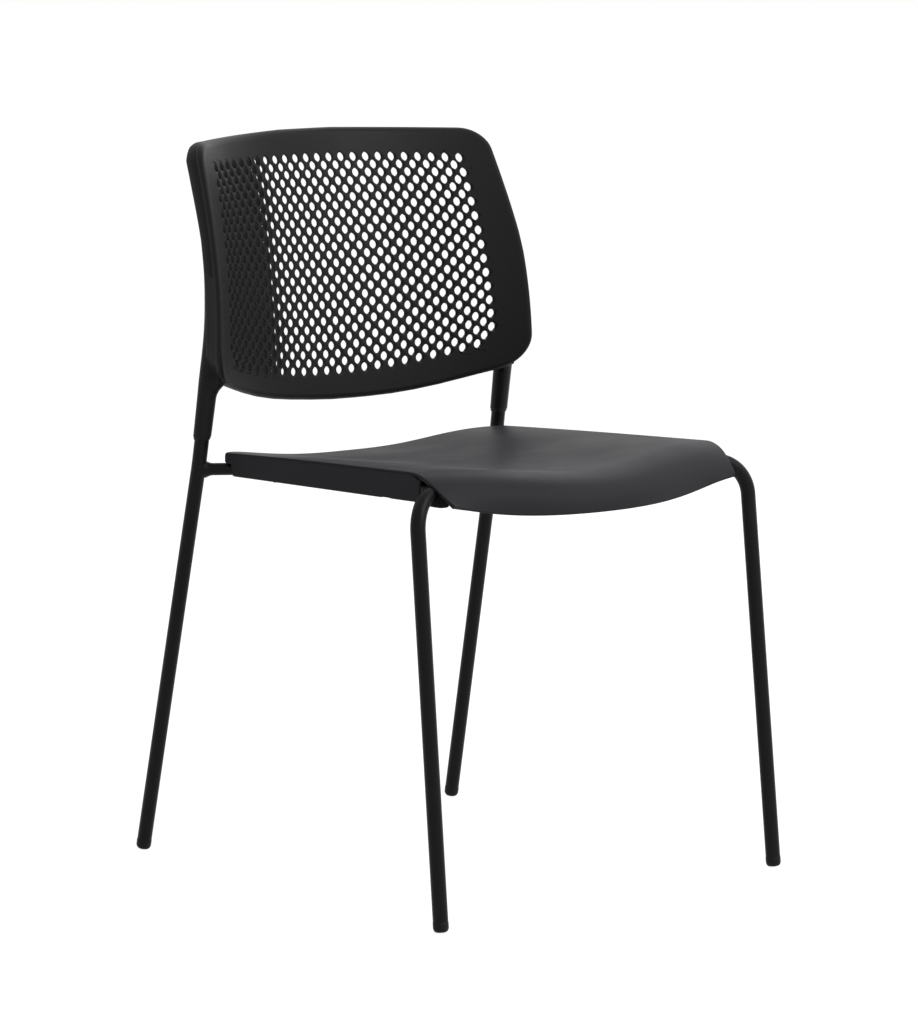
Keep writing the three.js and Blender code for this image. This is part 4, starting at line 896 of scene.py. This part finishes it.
# Upper face. Along runs from the rear edge (0) to the crest (1) and down the lip (2), across from -1 to 1. Heights
# blend from the dished middle to the sides. The lip is a cubic Bezier down to an end line, a polynomial in across
# squared; its controls change towards the sides. The edge drops with the square of the nearness to the side.
def seatTop(along, across):
    top, lip = np.clip(along, 0, 1), np.clip(along - 1, 0, 1)
    crestY = crestLine(across)
    crestZ = seat["sideHeight"] - seat["dish"][1] * (1 - dishShare(across, 1))
    sideY = mix(seat["rearY"], seat["crestSideY"], top)
    dish = mix(*seat["dish"], top) + seat["centreRise"] * np.sin(np.pi * top)
    y = mix(rearLine(across), crestY, top)
    z = seatSideLine(sideY) - dish * (1 - dishShare(across, top))
    half = np.where(along > 1, mix(seat["frontHalf"], seat["lipHalf"], lip ** 2), seatHalf(sideY))
    x = across * half
    bend, bendY, bendZ = (across * seat["lipHalf"] / seat["lipBendHalf"]) ** 2, seat["lipBendY"], seat["lipBendZ"]
    endY = seat["lipMiddle"][0] + bendY[0] * bend + bendY[1] * bend ** 2
    endZ = seat["lipMiddle"][1] + bendZ[0] * bend + bendZ[1] * bend ** 2 + bendZ[2] * bend ** 3
    weights = ((1 - lip) ** 3, 3 * (1 - lip) ** 2 * lip, 3 * (1 - lip) * lip ** 2, lip ** 3)
    end = np.abs(across) ** seat["lipEndPower"]
    controls = list(zip(weights, seat["lipControls"], seat["lipEndControls"]))
    forward, down = [sum(w * mix(c[n], e[n], end) for w, c, e in controls) for n in (0, 1)]
    y = np.where(along > 1, mix(crestY, endY, forward), y)
    z = np.where(along > 1, mix(crestZ, endZ, down), z)
    fromEdge = np.clip(1 - (half - np.abs(x)) / seat["softEdge"], 0, 1)
    return np.stack([x, y, z - seat["softDrop"] * fromEdge ** 2], -1)


# The shell: the upper face, a flange rolled down at the rear, a lower face one wall below, and half-round edges.
def seatShellSkin():
    across, along = [np.concatenate([np.linspace(*run) for run in seat[name]]) for name in ("acrossRuns", "alongRuns")]
    top = seatTop(*np.meshgrid(along, across, indexing="ij"))
    r = seat["rearRoll"]
    rolled = [top[0] + (0, r * np.sin(a), -r * (1 - np.cos(a))) for a in seat["rollAngles"]]
    flange = [rolled[-1] - (0, 0, drop) for drop in (seat["flangeStart"], seat["rearFlange"] - r)]
    top = np.concatenate([(rolled + flange)[::-1], top])
    normal = unit(np.cross(np.gradient(top, axis=0), np.gradient(top, axis=1)))
    normal *= np.sign(np.median(normal[..., 2]))
    wall, half = seat["thickness"], seat["thickness"] / 2
    middle = top - normal * half

    rows, columns = top.shape[:2]
    loop = np.array([(0, k) for k in range(columns)] + [(i, columns - 1) for i in range(1, rows)]
                    + [(rows - 1, k) for k in range(columns - 2, -1, -1)] + [(i, 0) for i in range(rows - 2, 0, -1)])
    edge, edgeNormal = middle[loop[:, 0], loop[:, 1]], normal[loop[:, 0], loop[:, 1]]
    outward = unit(np.cross(np.roll(edge, -1, axis=0) - np.roll(edge, 1, axis=0), edgeNormal))
    outward *= np.sign(np.median(np.sum(outward * (edge - edge.mean(axis=0)), axis=1)))
    swings = np.linspace(np.pi / 2, -np.pi / 2, seat["edgeSteps"])[1:-1]
    rounds = [edge - outward * half + half * (edgeNormal * np.sin(a) + outward * np.cos(a)) for a in swings]

    upper, lower = top.reshape(-1, 3), (top - normal * wall).reshape(-1, 3)
    rim = loop[:, 0] * columns + loop[:, 1]
    upper[rim] = edge - outward * half + edgeNormal * half
    lower[rim] = edge - outward * half - edgeNormal * half
    count = rows * columns
    faces = gridFaces(rows, columns) + [face[::-1] for face in gridFaces(rows, columns, start=count)]
    bands = [rim] + [2 * count + np.arange(len(loop)) + len(loop) * n for n in range(len(rounds))] + [rim + count]
    for near, far in zip(bands[:-1], bands[1:]):
        faces += np.stack([np.roll(near, -1), near, far, np.roll(far, -1)], -1).tolist()
    return np.concatenate([upper, lower] + rounds), faces


skirt = dict(
    wall=3.2, rearY=145.0, frontY=-203.0, rearDrop=27.0, frontDrop=31.2, underTop=2.6,
    dip=5.5, dipReach=16.0, step=13.5, stepLength=12.0, stepEase=2,
    notchY=-145.0, notchReach=8.0, notchHeight=0.6,
    endSteps=(0, 0.15, 0.5, 1.0, 1.6), endRound=0.7, endNarrow=0.8, gap=3, spacing=1.5, footSteps=8,
)


# Lower edge of the skirt: straight, stepped up at its rear end, with a small round notch near the front.
def skirtLow(y):
    line = seatSideLine(y)
    share = (y - skirt["frontY"]) / (skirt["rearY"] - skirt["frontY"])
    low = line - mix(skirt["frontDrop"], skirt["rearDrop"], share)
    edge = skirt["rearY"] - skirt["stepLength"]
    low = mix(low, line - skirt["step"], ease(y, edge - skirt["stepEase"], edge + skirt["stepEase"]))
    notch = np.sqrt(np.clip(1 - ((y - skirt["notchY"]) / skirt["notchReach"]) ** 2, 0, 1))
    return low + notch * skirt["notchHeight"]


# Section of an upright wall with a half-round foot, as (offset, height) pairs.
def wallSection(half, low, high, steps):
    foot = [(half * np.cos(a), low + half + half * np.sin(a)) for a in np.linspace(0, -np.pi, steps)]
    return [(half, high)] + foot + [(-half, high)]


# One side skirt: a wall flush with the seat's edge. Its ends are rounded by a quarter circle, and its top dips near
# the front to stay under the lip.
def skirtSkin(side):
    ends, front, rear = np.array(skirt["endSteps"]), skirt["frontY"], skirt["rearY"]
    y = np.concatenate([front + ends, np.arange(front + skirt["gap"], rear - skirt["gap"], skirt["spacing"]),
                        rear - ends[::-1]])
    away = np.clip(np.minimum(y - front, rear - y) / ends[-1], 0, 1)
    trim = skirt["endRound"] * (1 - np.sqrt(1 - (1 - away) ** 2))
    half = skirt["wall"] / 2
    dip = skirt["dip"] * (1 - ease(y, front, front + skirt["dipReach"]))
    low, high = skirtLow(y) + trim, seatSideLine(y) - skirt["underTop"] - dip
    section = [(half, high)] + wallSection(half, low, (high + low) / 2, skirt["footSteps"]) + [(-half, high)]
    narrow = 1 - trim / half * skirt["endNarrow"]
    middle = seatHalf(y) - half
    return tubeSkin(np.stack([np.stack([side * (middle + offset * narrow), y, z], -1) for offset, z in section], 1))


ribs = dict(
    wall=3.0, depth=12.0, length=170.0, span=130.0, centreY=-30.0, frontY=-188.0,
    frontSpan=300.0, steps=40, footSteps=6, root=1.5,
)


# Height of the seat's lower face: the upper face there less the wall.
def seatUnder(x, y):
    across = x / seatHalf(y)
    rearY = rearLine(across)
    top = np.clip((y - rearY) / (crestLine(across) - rearY), 0, 1)
    return seatTop(top, across)[..., 2] - seat["thickness"]


# A rib under the seat: a wall along a line, its root and foot following the lower face.
def ribSkin(start, end):
    start, end = np.array(start, float), np.array(end, float)
    line = mix(start, end, np.linspace(0, 1, ribs["steps"])[:, None])
    way = unit(end - start)
    across = np.array([-way[1], way[0]])
    under = seatUnder(line[:, 0], line[:, 1])
    low = under - ribs["depth"] + seat["thickness"]
    section = wallSection(ribs["wall"] / 2, low, under + ribs["root"], ribs["footSteps"])
    return tubeSkin(np.stack([np.concatenate([line + across * offset, z[:, None]], 1) for offset, z in section], 1))


# Shell, skirts, two ribs along the seat and two across it.
def makeSeat():
    bodies = [seatShellSkin()]
    for hand, side in sides:
        x = side * ribs["span"] / 2
        rib = ribSkin((x, ribs["centreY"] + ribs["length"] / 2), (x, ribs["centreY"] - ribs["length"] / 2))
        bodies += [skirtSkin(side), rib]
    for span, y in ((ribs["span"], ribs["centreY"]), (ribs["frontSpan"], ribs["frontY"])):
        bodies.append(ribSkin((-span / 2, y), (span / 2, y)))
    makePiece("seat_shell", *joined(*bodies), "seat_plastic", seat["crease"])


makeSeat()
print("seat made")

# Bumpers.

bumper = dict(
    round=3.2, square=0.5, rows=21, around=48,
    frontShift=(0.0, -4.0, -1.6), rearShift=(0.0, 0.0, 0.0),
)


# A soft pad in a box: its plan is a squared circle, drawn in at the top and the bottom by a quarter round.
def padSkin(low, high):
    middle, half = (low + high) / 2, (high - low) / 2
    level = np.sin(np.linspace(-np.pi / 2, np.pi / 2, bumper["rows"])) * half[2]
    fromEnd = np.clip((np.abs(level) - half[2] + bumper["round"]) / bumper["round"], 0, 1)
    inset = bumper["round"] * (1 - np.sqrt(1 - fromEnd ** 2))[:, None]
    swing = fullTurn(bumper["around"])
    plan = [np.sign(w) * np.abs(w) ** bumper["square"] for w in (np.cos(swing), np.sin(swing))]
    x, y = [middle[n] + (half[n] - inset) * plan[n] for n in (0, 1)]
    return tubeSkin(np.stack([x, y, middle[2] + level[:, None] + 0 * x], -1))


# A pad in the box of each solid bumper. The front ones are moved forward and reach further down.
def makeBumpers():
    for hand, side in sides:
        for name in ("front", "rear"):
            node = f"{name}_bumper_{hand}"
            solid = bpy.data.objects[node]
            corners = np.array([solid.matrix_world @ Vector(c) for c in solid.bound_box]) / mm
            shift = np.array(bumper[name + "Shift"])
            low, high = corners.min(axis=0), corners.max(axis=0)
            makePiece(node, *padSkin(low + shift, high + shift * (1, 1, 0)), "bumper_rubber")


makeBumpers()
print("bumpers made")

# Tabs and screws keep their solid shape.

solidFinishes = {"seat_tab": "tube_paint", "screw": "screw_steel"}


# Each solid whose name holds one of the words gets that finish.
def dressSolids():
    for item in bpy.data.objects:
        for word, slotName in solidFinishes.items():
            if word in item.name and item.name in frame["nodes"]:
                for place in item.material_slots:
                    place.material = finishes[slotName]


dressSolids()
print("small solids dressed")
